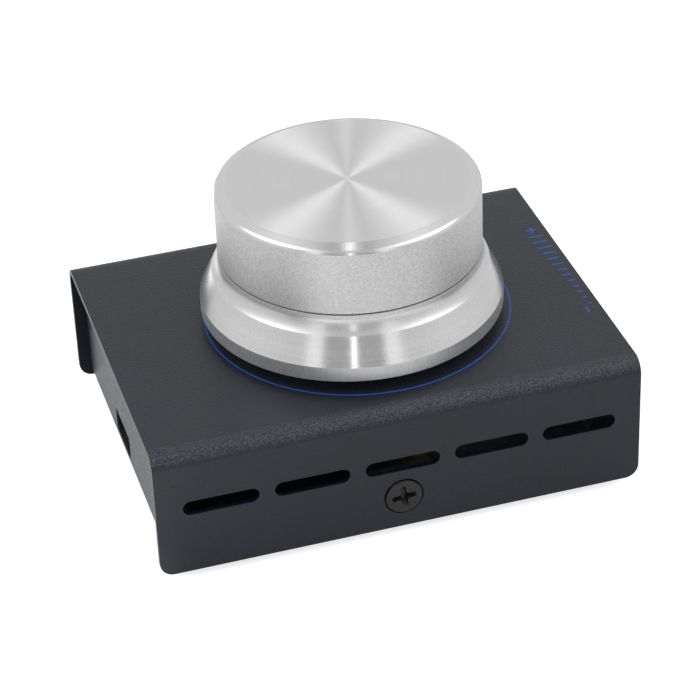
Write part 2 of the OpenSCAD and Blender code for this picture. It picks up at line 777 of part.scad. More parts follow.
module encoder_housing() {
    color([0.13, 0.13, 0.14]) at_knob() difference() {
        block(0, 0, enc_z, [enc_w, enc_w, plate_z - enc_z]);
        translate([0, 0, wheel_floor_z]) cylinder(r = wheel_well_r, h = plate_z - wheel_floor_z + cut);
        translate([0, 0, dome_z]) cylinder(r = chamber_r, h = wheel_floor_z - dome_z + cut);
        for (i = [-1 : 1]) lead_slot(i * lead_pitch, -1, wheel_floor_z);
        for (i = [-1, 1]) lead_slot(i * lead_pitch, 1, dome_z);
    }
}

// distance from the encoder axis to the inner end of a lead
function lead_inner(side) = side < 0 ? wheel_well_r - contact_lead_in : chamber_r - switch_lead_in;

// slot that a lead lies in, its top flush with the floor at z
module lead_slot(x, side, z) {
    inner = lead_inner(side);
    y0 = side < 0 ? -enc_w / 2 - cut : inner;
    translate([x - lead_w / 2 - fit_gap, y0, z - lead_t - fit_gap])
        cube([lead_w + 2 * fit_gap, enc_w / 2 + cut - inner, lead_t + fit_gap + lead_open]);
}

// folded steel strap that holds the plate to the housing and clips into the board
module encoder_clamp() {
    strap_x = enc_w / 2 + (clamp_t + fit_gap) / 2;
    strap_t = clamp_t - fit_gap;
    color([0.8, 0.8, 0.8]) at_knob() for (s = [-1, 1]) {
        block(s * strap_x, 0, enc_z, [strap_t, clamp_w, seat_z - enc_z - clamp_top_gap]);
        block(s * strap_x, 0, enc_board_z - clamp_tip,
            [strap_t, clamp_w / 2, enc_board_t + clamp_tip + cut]);
    }
}

module encoder_washer() {
    color([0.8, 0.8, 0.79]) at_knob(cover_z)
        tube(washer_d / 2, bush_d / 2 + hole_gap / 2, washer_t);
}

module encoder_nut() {
    color([0.78, 0.78, 0.77]) at_knob(nut_z) difference() {
        intersection() {
            cylinder(r = nut_af / 2 / cos(30), h = nut_h, $fn = 6);
            cylinder(r = nut_af / 2 * nut_chamfer, h = nut_h);
        }
        translate([0, 0, -cut]) cylinder(r = bush_d / 2 + fit_gap, h = nut_h + 2 * cut);
    }
}

// one lead: flat in its slot, out of the housing and down through the board
module lead(x, side, z) {
    inner = lead_inner(side) + fit_gap;
    outer = enc_w / 2 + lead_out;
    mirror([0, side < 0 ? 1 : 0, 0]) {
        translate([x - lead_w / 2, inner, z - lead_t]) cube([lead_w, outer - inner, lead_t]);
        translate([x - lead_w / 2, outer - lead_t, enc_board_z - lead_tip])
            cube([lead_w, lead_t, z - enc_board_z + lead_tip]);
    }
}

module encoder_pins() {
    color([0.8, 0.72, 0.5]) at_knob() for (i = [-1 : 1]) lead(i * lead_pitch, -1, wheel_floor_z);
}

module switch_pins() {
    color([0.8, 0.72, 0.5]) at_knob() for (i = [-1, 1]) lead(i * lead_pitch, 1, dome_z);
}

// leaf ring under the plate, with two tips over the notches of the code wheel
module detent_spring() {
    tip_r = (spring_r_in + wheel_well_r) / 2;
    tip_bottom = wheel_top_z + run_gap;
    tip_h = plate_z - spring_t / 2 - tip_bottom;
    color([0.85, 0.8, 0.6]) at_knob() {
        translate([0, 0, plate_z - spring_t]) tube(wheel_well_r - fit_gap, spring_r_in, spring_t);
        for (s = [-1, 1])
            block(s * tip_r, 0, tip_bottom, [spring_tip_w, spring_tip_w, tip_h]);
    }
}

module switch_dome() {
    r = (dome_r * dome_r + dome_h * dome_h) / (2 * dome_h);
    color([0.8, 0.8, 0.8]) at_knob(dome_z) intersection() {
        translate([0, 0, dome_h - r]) difference() {
            sphere(r);
            sphere(r - dome_t);
        }
        cylinder(r = chamber_r - fit_gap, h = 2 * dome_h);
    }
}

// end of the shaft with two flats, grown by g
module drive_shape(g, h) {
    intersection() {
        cylinder(r = drive_r + g, h = h);
        block(0, 0, 0, [drive_af + 2 * g, 3 * drive_r, h]);
    }
}

module code_wheel() {
    h = wheel_top_z - wheel_z;
    color([0.9, 0.9, 0.86]) at_knob(wheel_z) difference() {
        cylinder(r = wheel_r, h = h);
        translate([0, 0, -cut]) drive_shape(run_gap, h + 2 * cut);
        for (i = [0 : detents - 1]) rotate([0, 0, i * 360 / detents])
            translate([spring_r_in, -notch_w / 2, h - notch_depth])
                cube([wheel_r, notch_w, notch_depth + cut]);
    }
}

module contact_disc() {
    color([0.85, 0.68, 0.3]) at_knob(wheel_z - contact_t)
        tube(wheel_r - contact_rim, chamber_r + contact_bore_gap, contact_t);
}

module switch_plunger() {
    color([0.9, 0.9, 0.88]) at_knob(plunger_z) cylinder(r = plunger_r, h = plunger_t);
}

module encoder_shaft() {
    tip = shaft_chamfer;
    flat_x = shaft_flat_t - shaft_d / 2;
    color([0.76, 0.76, 0.75]) at_knob() difference() {
        union() {
            translate([0, 0, shaft_end_z]) drive_shape(0, drive_top_z - shaft_end_z + cut);
            translate([0, 0, drive_top_z]) cylinder(d = shaft_d, h = shaft_top_z - tip - drive_top_z);
            translate([0, 0, shaft_top_z - tip]) cylinder(d1 = shaft_d, d2 = shaft_d - 2 * tip, h = tip);
        }
        translate([flat_x, -shaft_d, shaft_top_z - shaft_flat_l])
            cube([shaft_d, 2 * shaft_d, shaft_flat_l + cut]);
        translate([0, 0, clip_z - fit_gap]) tube(shaft_d, shaft_d / 2 - clip_groove, clip_t + 2 * fit_gap);
    }
}

// open retaining ring in the shaft's groove, below the bush
module shaft_clip() {
    color([0.6, 0.6, 0.6]) at_knob(clip_z) difference() {
        tube(clip_r, shaft_d / 2 - clip_groove + fit_gap, clip_t);
        translate([0, -clip_mouth / 2, -cut]) cube([2 * clip_r, clip_mouth, clip_t + 2 * cut]);
    }
}

// ---- knob ----

module knob_hub() {
    bore_h = shaft_top_z + shaft_end_gap - hub_z;
    flat_x = shaft_flat_t - shaft_d / 2 + run_gap;
    round_h = bore_h - shaft_flat_l;
    color([0.15, 0.15, 0.16]) at_knob(hub_z) difference() {
        union() {
            cylinder(r = hub_r, h = hub_h);
            block(0, hub_r, 0, [key_w, 2 * key_h, hub_h]);
        }
        intersection() {
            translate([0, 0, -cut]) cylinder(r = shaft_d / 2 + run_gap, h = bore_h + cut);
            translate([flat_x - 2 * shaft_d, -shaft_d, -2 * cut])
                cube([2 * shaft_d, 2 * shaft_d, bore_h + 3 * cut]);
        }
        translate([0, 0, -cut]) cylinder(r = shaft_d / 2 + run_gap, h = round_h + cut);
    }
}

// outline of the turned knob, from the axis at the bottom round to the axis at the top
function knob_outline() = concat(
    [[0, 0], [rim_r, 0], [rim_r, rim_h], [skirt_top_r, skirt_h]],
    [for (i = [hollow_steps : -1 : 0])
        let (a = hollow_turn * i / hollow_steps)
        [grip_r + hollow_r * (1 - cos(a)), skirt_h + hollow_h - hollow_r * sin(a)]],
    [[grip_r, groove_z - groove_w / 2], [grip_r - groove_w, groove_z - groove_w / 2],
     [grip_r - groove_w, groove_z + groove_w / 2], [grip_r, groove_z + groove_w / 2],
     [grip_r, bevel_mid_z - bevel_out_h], [bevel_mid_r, bevel_mid_z],
     [top_r + bevel_in_w, knob_h - bevel_in_h], [top_r, knob_h], [0, knob_h]]
);

module knob_body() {
    pocket_h = hub_h + fit_gap;
    color([0.8, 0.8, 0.81]) at_knob(knob_z) difference() {
        rotate_extrude($fn = 180) polygon(knob_outline());
        translate([0, 0, -cut]) cylinder(d = recess_d, h = recess_h + cut);
        translate([0, 0, recess_h - cut]) cylinder(r = hub_r + fit_gap, h = pocket_h + cut);
        block(0, hub_r, recess_h - cut, [key_w + 2 * fit_gap, 2 * (key_h + fit_gap), pocket_h + cut]);
    }
}

top_cover();
base_tray();
foot(0);  // foot_1
foot(1);  // foot_2
foot(2);  // foot_3
foot(3);  // foot_4
cover_screw(-1);  // cover_screw_front
cover_screw(1);  // cover_screw_back
clinch_nut(-1);  // clinch_nut_front
clinch_nut(1);  // clinch_nut_back
main_board();
standoff(0);  // standoff_1
standoff(1);  // standoff_2
standoff(2);  // standoff_3
standoff(3);  // standoff_4
board_screw(0);  // board_screw_1
board_screw(1);  // board_screw_2
board_screw(2);  // board_screw_3
board_screw(3);  // board_screw_4
usb_shell();
usb_tongue();
usb_contacts();
controller_chip();
chip_leads();
crystal_can();
bulk_capacitor();
small_chips();
header_socket();
header_plug();
header_pins();
encoder_board();
encoder_bush();
encoder_housing();
encoder_clamp();
encoder_washer();
encoder_nut();
encoder_pins();
switch_pins();
detent_spring();
switch_dome();
code_wheel();
contact_disc();
switch_plunger();
encoder_shaft();
shaft_clip();
knob_hub();
knob_body();
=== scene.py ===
"""Desk volume control: the finishes of its pieces, and the small white studio it stands in."""

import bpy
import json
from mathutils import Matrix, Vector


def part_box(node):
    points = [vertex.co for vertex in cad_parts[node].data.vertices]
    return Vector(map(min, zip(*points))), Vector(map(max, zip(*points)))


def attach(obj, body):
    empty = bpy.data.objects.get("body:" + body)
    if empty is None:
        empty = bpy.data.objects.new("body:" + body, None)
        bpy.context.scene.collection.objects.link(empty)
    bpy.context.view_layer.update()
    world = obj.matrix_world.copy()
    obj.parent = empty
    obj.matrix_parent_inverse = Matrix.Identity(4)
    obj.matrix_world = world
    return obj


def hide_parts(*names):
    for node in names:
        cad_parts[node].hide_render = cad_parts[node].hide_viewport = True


bl_info = {
    "name": "Desk volume knob",
    "version": (1, 0, 0),
    "blender": (4, 5, 0),
    "location": "3D View > Sidebar > Volume knob",
    "description": "Builds the coated case, turned knob, print and studio of a desk volume control",
    "category": "Object",
}

import json
import math

import bmesh
import bpy
from mathutils import Matrix, Vector

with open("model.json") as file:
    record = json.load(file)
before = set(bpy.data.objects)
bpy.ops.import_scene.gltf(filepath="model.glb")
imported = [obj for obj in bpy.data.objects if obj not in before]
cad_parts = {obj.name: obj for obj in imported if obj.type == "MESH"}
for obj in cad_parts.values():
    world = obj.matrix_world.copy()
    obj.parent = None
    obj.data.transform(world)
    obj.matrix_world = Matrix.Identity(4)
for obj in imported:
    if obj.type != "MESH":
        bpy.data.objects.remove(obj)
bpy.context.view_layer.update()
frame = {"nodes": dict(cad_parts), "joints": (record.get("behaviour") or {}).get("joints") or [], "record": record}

MM = 0.001
MERGE = 0.001 * MM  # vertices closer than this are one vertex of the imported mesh

COVER_LOW, COVER_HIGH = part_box("top_cover")
TRAY_LOW, TRAY_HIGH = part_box("base_tray")
KNOB_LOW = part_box("knob_body")[0]
SCREW_LOW, SCREW_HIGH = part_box("cover_screw_front")
TURN_JOINT = next(joint for joint in frame["joints"] if joint["name"] == "knob_turn")
AXIS_X, AXIS_Y = TURN_JOINT["pos_m"][0], TURN_JOINT["pos_m"][1]


def linear(hex_colour):
    """Turns an sRGB hex colour into the linear RGBA that the shaders take."""
    parts = [int(hex_colour[i : i + 2], 16) / 255 for i in (1, 3, 5)]
    return (
        *(c / 12.92 if c <= 0.04045 else ((c + 0.055) / 1.055) ** 2.4 for c in parts),
        1.0,
    )


# ---- sizes and colours that a user would change ----


class CaseFinish(bpy.types.PropertyGroup):
    """Coat, edges and ink of the folded case."""

    coat: bpy.props.FloatVectorProperty(
        name="Coat colour",
        description="Colour of the powder coat on the cover and the tray",
        subtype="COLOR",
        size=4,
        min=0,
        max=1,
        default=linear("#171b27"),
    )
    grain: bpy.props.FloatProperty(
        name="Coat grain",
        description="Size of one grain of the textured powder coat",
        default=0.42 * MM,
        min=0.05 * MM,
        unit="LENGTH",
    )
    edge: bpy.props.FloatProperty(
        name="Edge rounding",
        description="Rounding that the coat leaves on the cut edges of the sheet",
        default=0.13 * MM,
        min=0.02 * MM,
        max=0.3 * MM,
        unit="LENGTH",
    )
    ink: bpy.props.FloatVectorProperty(
        name="Ink colour",
        description="Colour of the ring and the level marks on the cover",
        subtype="COLOR",
        size=4,
        min=0,
        max=1,
        default=linear("#2858a8"),
    )
    ring_radius: bpy.props.FloatProperty(
        name="Ring radius",
        description="Radius of the printed ring round the knob",
        default=27.7 * MM,
        unit="LENGTH",
    )
    ring_right: bpy.props.FloatProperty(
        name="Ring to the right",
        description="How far the print sits to the right of the knob's axis, as the camera sees it",
        default=0.8 * MM,
        unit="LENGTH",
    )
    ring_front: bpy.props.FloatProperty(
        name="Ring to the front",
        description="How far the print sits in front of the knob's axis, as the camera sees it",
        default=0.5 * MM,
        unit="LENGTH",
    )
    ring_width: bpy.props.FloatProperty(
        name="Ring width",
        description="Width of the printed line",
        default=0.38 * MM,
        unit="LENGTH",
    )
    level_marks: bpy.props.IntProperty(
        name="Level marks",
        description="Number of marks on the level scale",
        default=13,
        min=3,
        max=25,
    )


class KnobFinish(bpy.types.PropertyGroup):
    """Metal and turned edges of the knob."""

    metal: bpy.props.FloatVectorProperty(
        name="Metal colour",
        description="Reflection colour of the bare aluminium",
        subtype="COLOR",
        size=4,
        min=0,
        max=1,
        default=linear("#f7f7f7"),
    )
    steps: bpy.props.IntProperty(
        name="Turning steps",
        description="Number of faces round the knob",
        default=192,
        min=48,
        max=256,
    )
    edge: bpy.props.FloatProperty(
        name="Broken edge",
        description="Width that is taken off the turned edges",
        default=0.05 * MM,
        min=0.01 * MM,
        max=0.1 * MM,
        unit="LENGTH",
    )
    blast: bpy.props.FloatProperty(
        name="Blast grain",
        description="Size of one dent of the blasted grip",
        default=0.22 * MM,
        min=0.05 * MM,
        unit="LENGTH",
    )
    feed: bpy.props.FloatProperty(
        name="Tool feed",
        description="Distance between two turning marks",
        default=0.11 * MM,
        min=0.03 * MM,
        unit="LENGTH",
    )


class StudioLight(bpy.types.PropertyGroup):
    """White tent, desk top and camera of the studio."""

    walls: bpy.props.FloatProperty(
        name="Tent walls",
        description="Brightness of the tent's lower walls",
        default=0.83,
        min=0,
    )
    roof: bpy.props.FloatProperty(
        name="Tent roof",
        description="How much brighter the two light panels are than the tent's walls",
        default=2.3,
        min=0,
    )
    floor: bpy.props.FloatVectorProperty(
        name="Desk colour",
        description="Colour of the white desk top",
        subtype="COLOR",
        size=4,
        min=0,
        max=1,
        default=linear("#e6e6e6"),
    )


# ---- small helpers for node trees ----


def add(tree, kind, inputs=None, **settings):
    """Adds one node, sets its options, and fills or links its inputs."""
    node = tree.nodes.new(kind)
    for option, value in settings.items():
        setattr(node, option, value)
    for socket, value in (inputs or {}).items():
        if isinstance(value, bpy.types.NodeSocket):
            tree.links.new(value, node.inputs[socket])
        else:
            node.inputs[socket].default_value = value
    return node


def sums(tree, operation, a, b=0.0, clamp=False):
    """One step of arithmetic between two numbers or sockets."""
    return add(
        tree, "ShaderNodeMath", {0: a, 1: b}, operation=operation, use_clamp=clamp
    ).outputs[0]


def times(tree, a, b):
    """Product of two numbers or sockets."""
    return sums(tree, "MULTIPLY", a, b)


def plus(tree, a, b):
    """Sum of two numbers or sockets."""
    return sums(tree, "ADD", a, b)


def blend(tree, *shares):
    """Adds up pairs of a share and a value."""
    total = times(tree, shares[0][1], shares[0][0])
    for share, value in shares[1:]:
        total = plus(tree, total, times(tree, value, share))
    return total


def along(tree, vector, direction):
    """How far a vector reaches in one fixed direction."""
    return add(
        tree, "ShaderNodeVectorMath", {0: vector, 1: tuple(direction)}, operation="DOT_PRODUCT"
    ).outputs["Value"]


def length(tree, vector):
    """Length of a vector."""
    return add(tree, "ShaderNodeVectorMath", {0: vector}, operation="LENGTH").outputs["Value"]


def axis(tree, vector, name):
    """One coordinate of a vector."""
    return add(tree, "ShaderNodeSeparateXYZ", {0: vector}).outputs[name]


def rise(tree, value, start, end, low=0.0, high=1.0):
    """Smooth step from low at start to high at end."""
    inputs = {"Value": value, "From Min": start, "From Max": end, "To Min": low}
    inputs["To Max"] = high
    return add(
        tree, "ShaderNodeMapRange", inputs, interpolation_type="SMOOTHSTEP"
    ).outputs["Result"]


def span(tree, value, low, high, start=0.3, end=0.7):
    """Spreads a noise value, which lies mostly between start and end, from low to high."""
    inputs = {"Value": value, "From Min": start, "From Max": end, "To Min": low}
    inputs["To Max"] = high
    return add(tree, "ShaderNodeMapRange", inputs).outputs["Result"]


def noise(tree, vector, size, detail=2.0, roughness=0.5):
    """Noise whose lumps are about size metres across."""
    inputs = {"Vector": vector, "Scale": 1 / size, "Detail": detail}
    inputs["Roughness"] = roughness
    return add(tree, "ShaderNodeTexNoise", inputs).outputs["Fac"]


def blend_colours(tree, share, first, second):
    """Mixes two colours by a share from 0 to 1."""
    node = add(tree, "ShaderNodeMix", data_type="RGBA")
    for socket, value in ((0, share), (6, first), (7, second)):
        if isinstance(value, bpy.types.NodeSocket):
            tree.links.new(value, node.inputs[socket])
        else:
            node.inputs[socket].default_value = value
    return node.outputs[2]


def dents(tree, height, depth, strength=1.0):
    """Bump whose full height is depth metres."""
    inputs = {"Height": height, "Distance": depth, "Strength": strength}
    return add(tree, "ShaderNodeBump", inputs).outputs["Normal"]


def scaled(colour, factor):
    """The same colour, lighter or darker."""
    return (*(min(1.0, c * factor) for c in colour[:3]), 1.0)


def finish(name, **sockets):
    """Starts a finish, a node material with one Principled shader.

    Returns the material, its tree, the shader and the object's coordinates.
    """
    material = bpy.data.materials.new(name)
    material.use_nodes = True
    tree = material.node_tree
    tree.nodes.clear()
    shader = add(tree, "ShaderNodeBsdfPrincipled")
    for socket, value in sockets.items():
        shader.inputs[socket.replace("_", " ")].default_value = value
    add(tree, "ShaderNodeOutputMaterial", {"Surface": shader.outputs["BSDF"]})
    coordinates = add(tree, "ShaderNodeTexCoord").outputs["Object"]
    return material, tree, shader, coordinates


def join(tree, socket, shader, name):
    """Links a pattern to one of the shader's inputs."""
    tree.links.new(socket, shader.inputs[name])


# ---- finishes ----


# where the painted glint specks of the bends start and are full, in millimetres from the cover's side and top
BEND_SIDE, BEND_TOP = (3.8, 1.6), (2.4, 1.2)


def painted_glint_mask(tree, place):
    """One on the rounded bends between the top of the cover and its flanges, zero elsewhere: where glint specks
    are painted into the coat's colour.
    """
    side = sums(tree, "ABSOLUTE", axis(tree, place, "Y"))
    out = rise(tree, side, *(COVER_HIGH.y - reach * MM for reach in BEND_SIDE))
    up = rise(tree, axis(tree, place, "Z"), *(COVER_HIGH.z - reach * MM for reach in BEND_TOP))
    return times(tree, out, up)


def powder_coat(name, colour, grain, roughness=0.38, lift=0.1, gloss=0.5):
    """Fine textured powder coat, baked on sheet metal.

    The grains are about four tenths of a millimetre and stand some hundredths high, so that the
    flat sheet looks evenly dull and a bend, where the coat is stretched and turns to the light,
    catches some light on them; on the bends, lighter specks are also painted into the coat's colour
    as a painted highlight. Seen along the sheet the coat gives a pale, slightly blue sheen.
    """
    material, tree, shader, place = finish(
        name,
        Metallic=0.0,
        IOR=1.5,
        Specular_IOR_Level=gloss,
        Sheen_Weight=lift,
        Sheen_Roughness=0.45,
        Sheen_Tint=(0.86, 0.9, 1.0, 1.0),
    )
    fine = noise(tree, place, grain, 3.0, 0.65)
    cloud = noise(tree, place, 9 * MM, 3.0, 0.6)
    speck = noise(tree, place, 0.8 * grain, 2.0, 0.6)
    mixed = blend(tree, (0.35, cloud), (0.65, speck))
    flat = blend_colours(
        tree, span(tree, mixed, 0.0, 1.0, 0.38, 0.62), scaled(colour, 0.8), scaled(colour, 1.2)
    )
    point = noise(tree, place, 0.6 * grain, 2.0, 0.7)
    # painted highlight: lighter specks of #515259 painted into the base colour on the bends, as glint specks
    painted_glints = times(tree, painted_glint_mask(tree, place), span(tree, point, 0.0, 1.0, 0.42, 0.62))
    join(tree, blend_colours(tree, painted_glints, flat, linear("#515259")), shader, "Base Color")
    join(tree, span(tree, fine, roughness - 0.08, roughness + 0.1), shader, "Roughness")
    join(tree, dents(tree, fine, 0.09 * MM, 1.0), shader, "Normal")
    return material


def ink_print(name, colour):
    """Screen-printed ink: a thin flat film, a little uneven from the mesh of the screen."""
    material, tree, shader, place = finish(name, Metallic=0.0, IOR=1.5, Specular_IOR_Level=0.4)
    film = noise(tree, place, 0.35 * MM, 2.0, 0.6)
    join(
        tree,
        blend_colours(tree, span(tree, film, 0.0, 1.0), scaled(colour, 0.86), scaled(colour, 1.1)),
        shader,
        "Base Color",
    )
    join(tree, span(tree, film, 0.42, 0.58), shader, "Roughness")
    join(tree, dents(tree, film, 0.006 * MM, 0.6), shader, "Normal")
    return material


def knob_plane(tree, place):
    """Vector from the knob's axis to the point, level with the desk, in the knob's own frame."""
    level = add(
        tree, "ShaderNodeVectorMath", {0: place, 1: (AXIS_X, AXIS_Y, 0.0)}, operation="SUBTRACT"
    ).outputs[0]
    return add(
        tree, "ShaderNodeVectorMath", {0: level, 1: (1.0, 1.0, 0.0)}, operation="MULTIPLY"
    ).outputs[0]


def across_marks(tree, outward):
    """Direction on the surface that runs across the turning marks, for the shader's tangent."""
    turned = add(
        tree,
        "ShaderNodeVectorTransform",
        {0: outward},
        vector_type="VECTOR",
        convert_from="OBJECT",
        convert_to="WORLD",
    ).outputs[0]
    round_knob = add(
        tree, "ShaderNodeVectorMath", {0: (0.0, 0.0, 1.0), 1: turned}, operation="CROSS_PRODUCT"
    ).outputs[0]
    facing = add(tree, "ShaderNodeNewGeometry").outputs["Normal"]
    across = add(
        tree, "ShaderNodeVectorMath", {0: round_knob, 1: facing}, operation="CROSS_PRODUCT"
    ).outputs[0]
    return add(tree, "ShaderNodeVectorMath", {0: across}, operation="NORMALIZE").outputs[0]


def turned_metal(name, colour, roughness, anisotropy, feed, depth, dark=0.965):
    """Aluminium straight from the lathe tool.

    The tool's rings are too fine to see one by one. They spread the light across the marks and
    keep it narrow along them, which draws the bright and dark fans on the top of the knob.
    """
    material, tree, shader, place = finish(name, Metallic=1.0, Anisotropic=anisotropy)
    outward = knob_plane(tree, place)
    inputs = {"X": length(tree, outward), "Y": axis(tree, place, "Z")}
    rings = add(tree, "ShaderNodeCombineXYZ", inputs).outputs[0]
    mark = noise(tree, rings, feed, 2.0, 0.7)
    band = noise(tree, rings, 9 * feed, 2.0, 0.6)
    fleck = noise(tree, place, 3.2 * feed, 2.0, 0.6)
    both = blend(tree, (0.3, mark), (0.3, band), (0.4, fleck))
    join(
        tree,
        blend_colours(tree, span(tree, both, 0.0, 1.0, 0.38, 0.62), scaled(colour, dark), colour),
        shader,
        "Base Color",
    )
    join(tree, span(tree, both, roughness - 0.02, roughness + 0.02), shader, "Roughness")
    join(tree, dents(tree, mark, depth, 0.5), shader, "Normal")
    join(tree, across_marks(tree, outward), shader, "Tangent")
    return material


def blasted_metal(name, colour, grain, roughness=0.5):
    """Bead-blasted aluminium: small round dents all over, each with its own glint."""
    material, tree, shader, place = finish(name, Metallic=1.0)
    pits = noise(tree, place, grain, 2.0, 0.65)
    cloud = noise(tree, place, 1.9 * grain, 2.0, 0.6)
    both = blend(tree, (0.5, pits), (0.5, cloud))
    join(
        tree,
        blend_colours(tree, span(tree, both, 0.0, 1.0), scaled(colour, 0.64), colour),
        shader,
        "Base Color",
    )
    join(tree, span(tree, pits, roughness - 0.06, roughness + 0.06), shader, "Roughness")
    join(tree, dents(tree, both, 0.06 * MM, 0.8), shader, "Normal")
    return material


def hatched_metal(name, colour, roughness=0.42):
    """Rim of the knob: a coarser cut with short hatches from the tool's chatter."""
    material, tree, shader, place = finish(name, Metallic=1.0, Anisotropic=0.5)
    outward = knob_plane(tree, place)
    stretched = add(tree, "ShaderNodeMapping", {0: place, "Scale": (1.0, 1.0, 0.3)}).outputs[0]
    hatch = noise(tree, stretched, 0.34 * MM, 2.0, 0.6)
    ring = add(tree, "ShaderNodeCombineXYZ", {"Z": axis(tree, place, "Z")}).outputs[0]
    lines = noise(tree, ring, 0.16 * MM, 2.0)
    both = blend(tree, (0.55, hatch), (0.45, lines))
    join(
        tree,
        blend_colours(tree, span(tree, both, 0.0, 1.0, 0.35, 0.65), scaled(colour, 0.82), colour),
        shader,
        "Base Color",
    )
    join(tree, span(tree, both, roughness - 0.05, roughness + 0.05), shader, "Roughness")
    join(tree, dents(tree, both, 0.03 * MM, 0.7), shader, "Normal")
    join(tree, across_marks(tree, outward), shader, "Tangent")
    return material


def plated_metal(name, dark, light, roughness, lump=0.6 * MM, metallic=1.0):
    """Plated or bare small metal parts: soft clouds in the plating and faint handling marks."""
    material, tree, shader, place = finish(name, Metallic=metallic)
    cloud = noise(tree, place, lump, 3.0, 0.6)
    scratch = noise(
        tree,
        add(tree, "ShaderNodeMapping", {0: place, "Scale": (1.0, 0.15, 1.0)}).outputs[0],
        0.12 * MM,
        2.0,
    )
    join(tree, blend_colours(tree, span(tree, cloud, 0.0, 1.0), dark, light), shader, "Base Color")
    join(tree, span(tree, cloud, roughness - 0.05, roughness + 0.07), shader, "Roughness")
    join(tree, dents(tree, scratch, 0.004 * MM, 0.5), shader, "Normal")
    return material


def moulded_plastic(name, colour, roughness=0.5, grain=0.25 * MM):
    """Moulded plastic with the fine spark-eroded grain of its mould."""
    material, tree, shader, place = finish(name, Metallic=0.0, IOR=1.5)
    skin = noise(tree, place, grain, 2.0, 0.6)
    flow = noise(tree, place, 3 * MM, 2.0)
    join(
        tree,
        blend_colours(tree, span(tree, flow, 0.0, 1.0), scaled(colour, 0.9), scaled(colour, 1.08)),
        shader,
        "Base Color",
    )
    join(tree, span(tree, skin, roughness - 0.05, roughness + 0.08), shader, "Roughness")
    join(tree, dents(tree, skin, 0.01 * MM, 0.6), shader, "Normal")
    return material


def foot_rubber(name, colour):
    """Soft black rubber of the feet: matte, with a dusty bloom."""
    material, tree, shader, place = finish(name, Metallic=0.0, IOR=1.5, Sheen_Weight=0.15)
    bloom = noise(tree, place, 1.2 * MM, 3.0, 0.6)
    skin = noise(tree, place, 0.2 * MM, 2.0)
    join(
        tree,
        blend_colours(tree, span(tree, bloom, 0.0, 1.0), colour, scaled(colour, 1.5)),
        shader,
        "Base Color",
    )
    join(tree, span(tree, skin, 0.68, 0.85), shader, "Roughness")
    join(tree, dents(tree, skin, 0.02 * MM, 0.6), shader, "Normal")
    return material


def solder_mask(name, colour):
    """Circuit board: green mask over copper traces, which show as slightly raised lighter bands."""
    material, tree, shader, place = finish(
        name, Metallic=0.0, IOR=1.5, Coat_Weight=0.35, Coat_Roughness=0.15
    )
    cells = add(
        tree,
        "ShaderNodeTexVoronoi",
        {"Vector": place, "Scale": 1 / (2.54 * MM), "Randomness": 0.35},
        distance="CHEBYCHEV",
        feature="F1",
    ).outputs["Distance"]
    trace = sums(tree, "PINGPONG", cells, 0.16)
    edge = rise(tree, trace, 0.06, 0.1)
    weave = noise(tree, place, 0.6 * MM, 2.0)
    base = blend_colours(tree, edge, scaled(colour, 0.7), scaled(colour, 1.35))
    join(
        tree,
        blend_colours(tree, span(tree, weave, 0.0, 0.35), base, scaled(colour, 0.8)),
        shader,
        "Base Color",
    )
    join(tree, span(tree, weave, 0.3, 0.42), shader, "Roughness")
    join(tree, dents(tree, edge, 0.03 * MM, 0.5), shader, "Normal")
    return material


# ---- small helpers for pieces ----


def hand_over(bm, name, materials, body, stands_for=()):
    """Writes the mesh with its place in it, smooths it, and hands the piece to its body."""
    mesh = bpy.data.meshes.new(name)
    bm.to_mesh(mesh)
    bm.free()
    for material in materials:
        mesh.materials.append(material)
    mesh.shade_smooth()
    mesh.set_sharp_from_angle(angle=math.radians(50))
    piece = bpy.data.objects.new(name, mesh)
    bpy.context.scene.collection.objects.link(piece)
    even = piece.modifiers.new("even shading", "WEIGHTED_NORMAL")
    even.keep_sharp = True
    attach(piece, body)
    if stands_for:
        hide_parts(*stands_for)
    return piece


def merged_copy(node):
    """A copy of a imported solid's mesh with its triangles joined into whole faces."""
    bm = bmesh.new()
    bm.from_mesh(frame["nodes"][node].data)
    bmesh.ops.remove_doubles(bm, verts=bm.verts, dist=MERGE)
    bmesh.ops.dissolve_limit(
        bm,
        angle_limit=math.radians(0.4),
        use_dissolve_boundaries=False,
        verts=bm.verts,
        edges=bm.edges,
        delimit=set(),
    )
    for face in bm.faces:
        face.material_index = 0
    return bm


def break_edges(bm, edges, width, segments=2):
    """Rounds the given edges."""
    return bmesh.ops.bevel(
        bm,
        geom=edges,
        offset=width,
        offset_type="OFFSET",
        affect="EDGES",
        segments=segments,
        profile=0.5,
        material=-1,
        clamp_overlap=True,
        loop_slide=True,
    )["faces"]


def sharper_than(bm, degrees):
    """Edges between two faces that meet at more than this angle."""
    limit = math.radians(degrees)
    return [e for e in bm.edges if e.is_manifold and e.calc_face_angle(0.0) > limit]


def slab(bm, low, high):
    """Adds a box between two corners."""
    centre = (Vector(low) + Vector(high)) / 2
    size = Vector(high) - Vector(low)
    bmesh.ops.create_cube(
        bm, size=1.0, matrix=Matrix.Translation(centre) @ Matrix.Diagonal((*size, 1.0))
    )


def spin_outline(outline, steps):
    """Turns an outline of (radius, height) points in metres about the knob's axis."""
    bm = bmesh.new()
    points = [bm.verts.new((AXIS_X + r, AXIS_Y, z)) for r, z in outline]
    wire = [bm.edges.new(pair) for pair in zip(points, points[1:])]
    bmesh.ops.spin(
        bm,
        geom=points + wire,
        cent=(AXIS_X, AXIS_Y, 0.0),
        axis=(0.0, 0.0, 1.0),
        dvec=(0.0, 0.0, 0.0),
        angle=2 * math.pi,
        steps=steps,
        use_merge=True,
        use_duplicate=False,
    )
    bmesh.ops.remove_doubles(bm, verts=bm.verts, dist=MERGE)
    bmesh.ops.recalc_face_normals(bm, faces=bm.faces)
    return bm


# ---- the knob ----

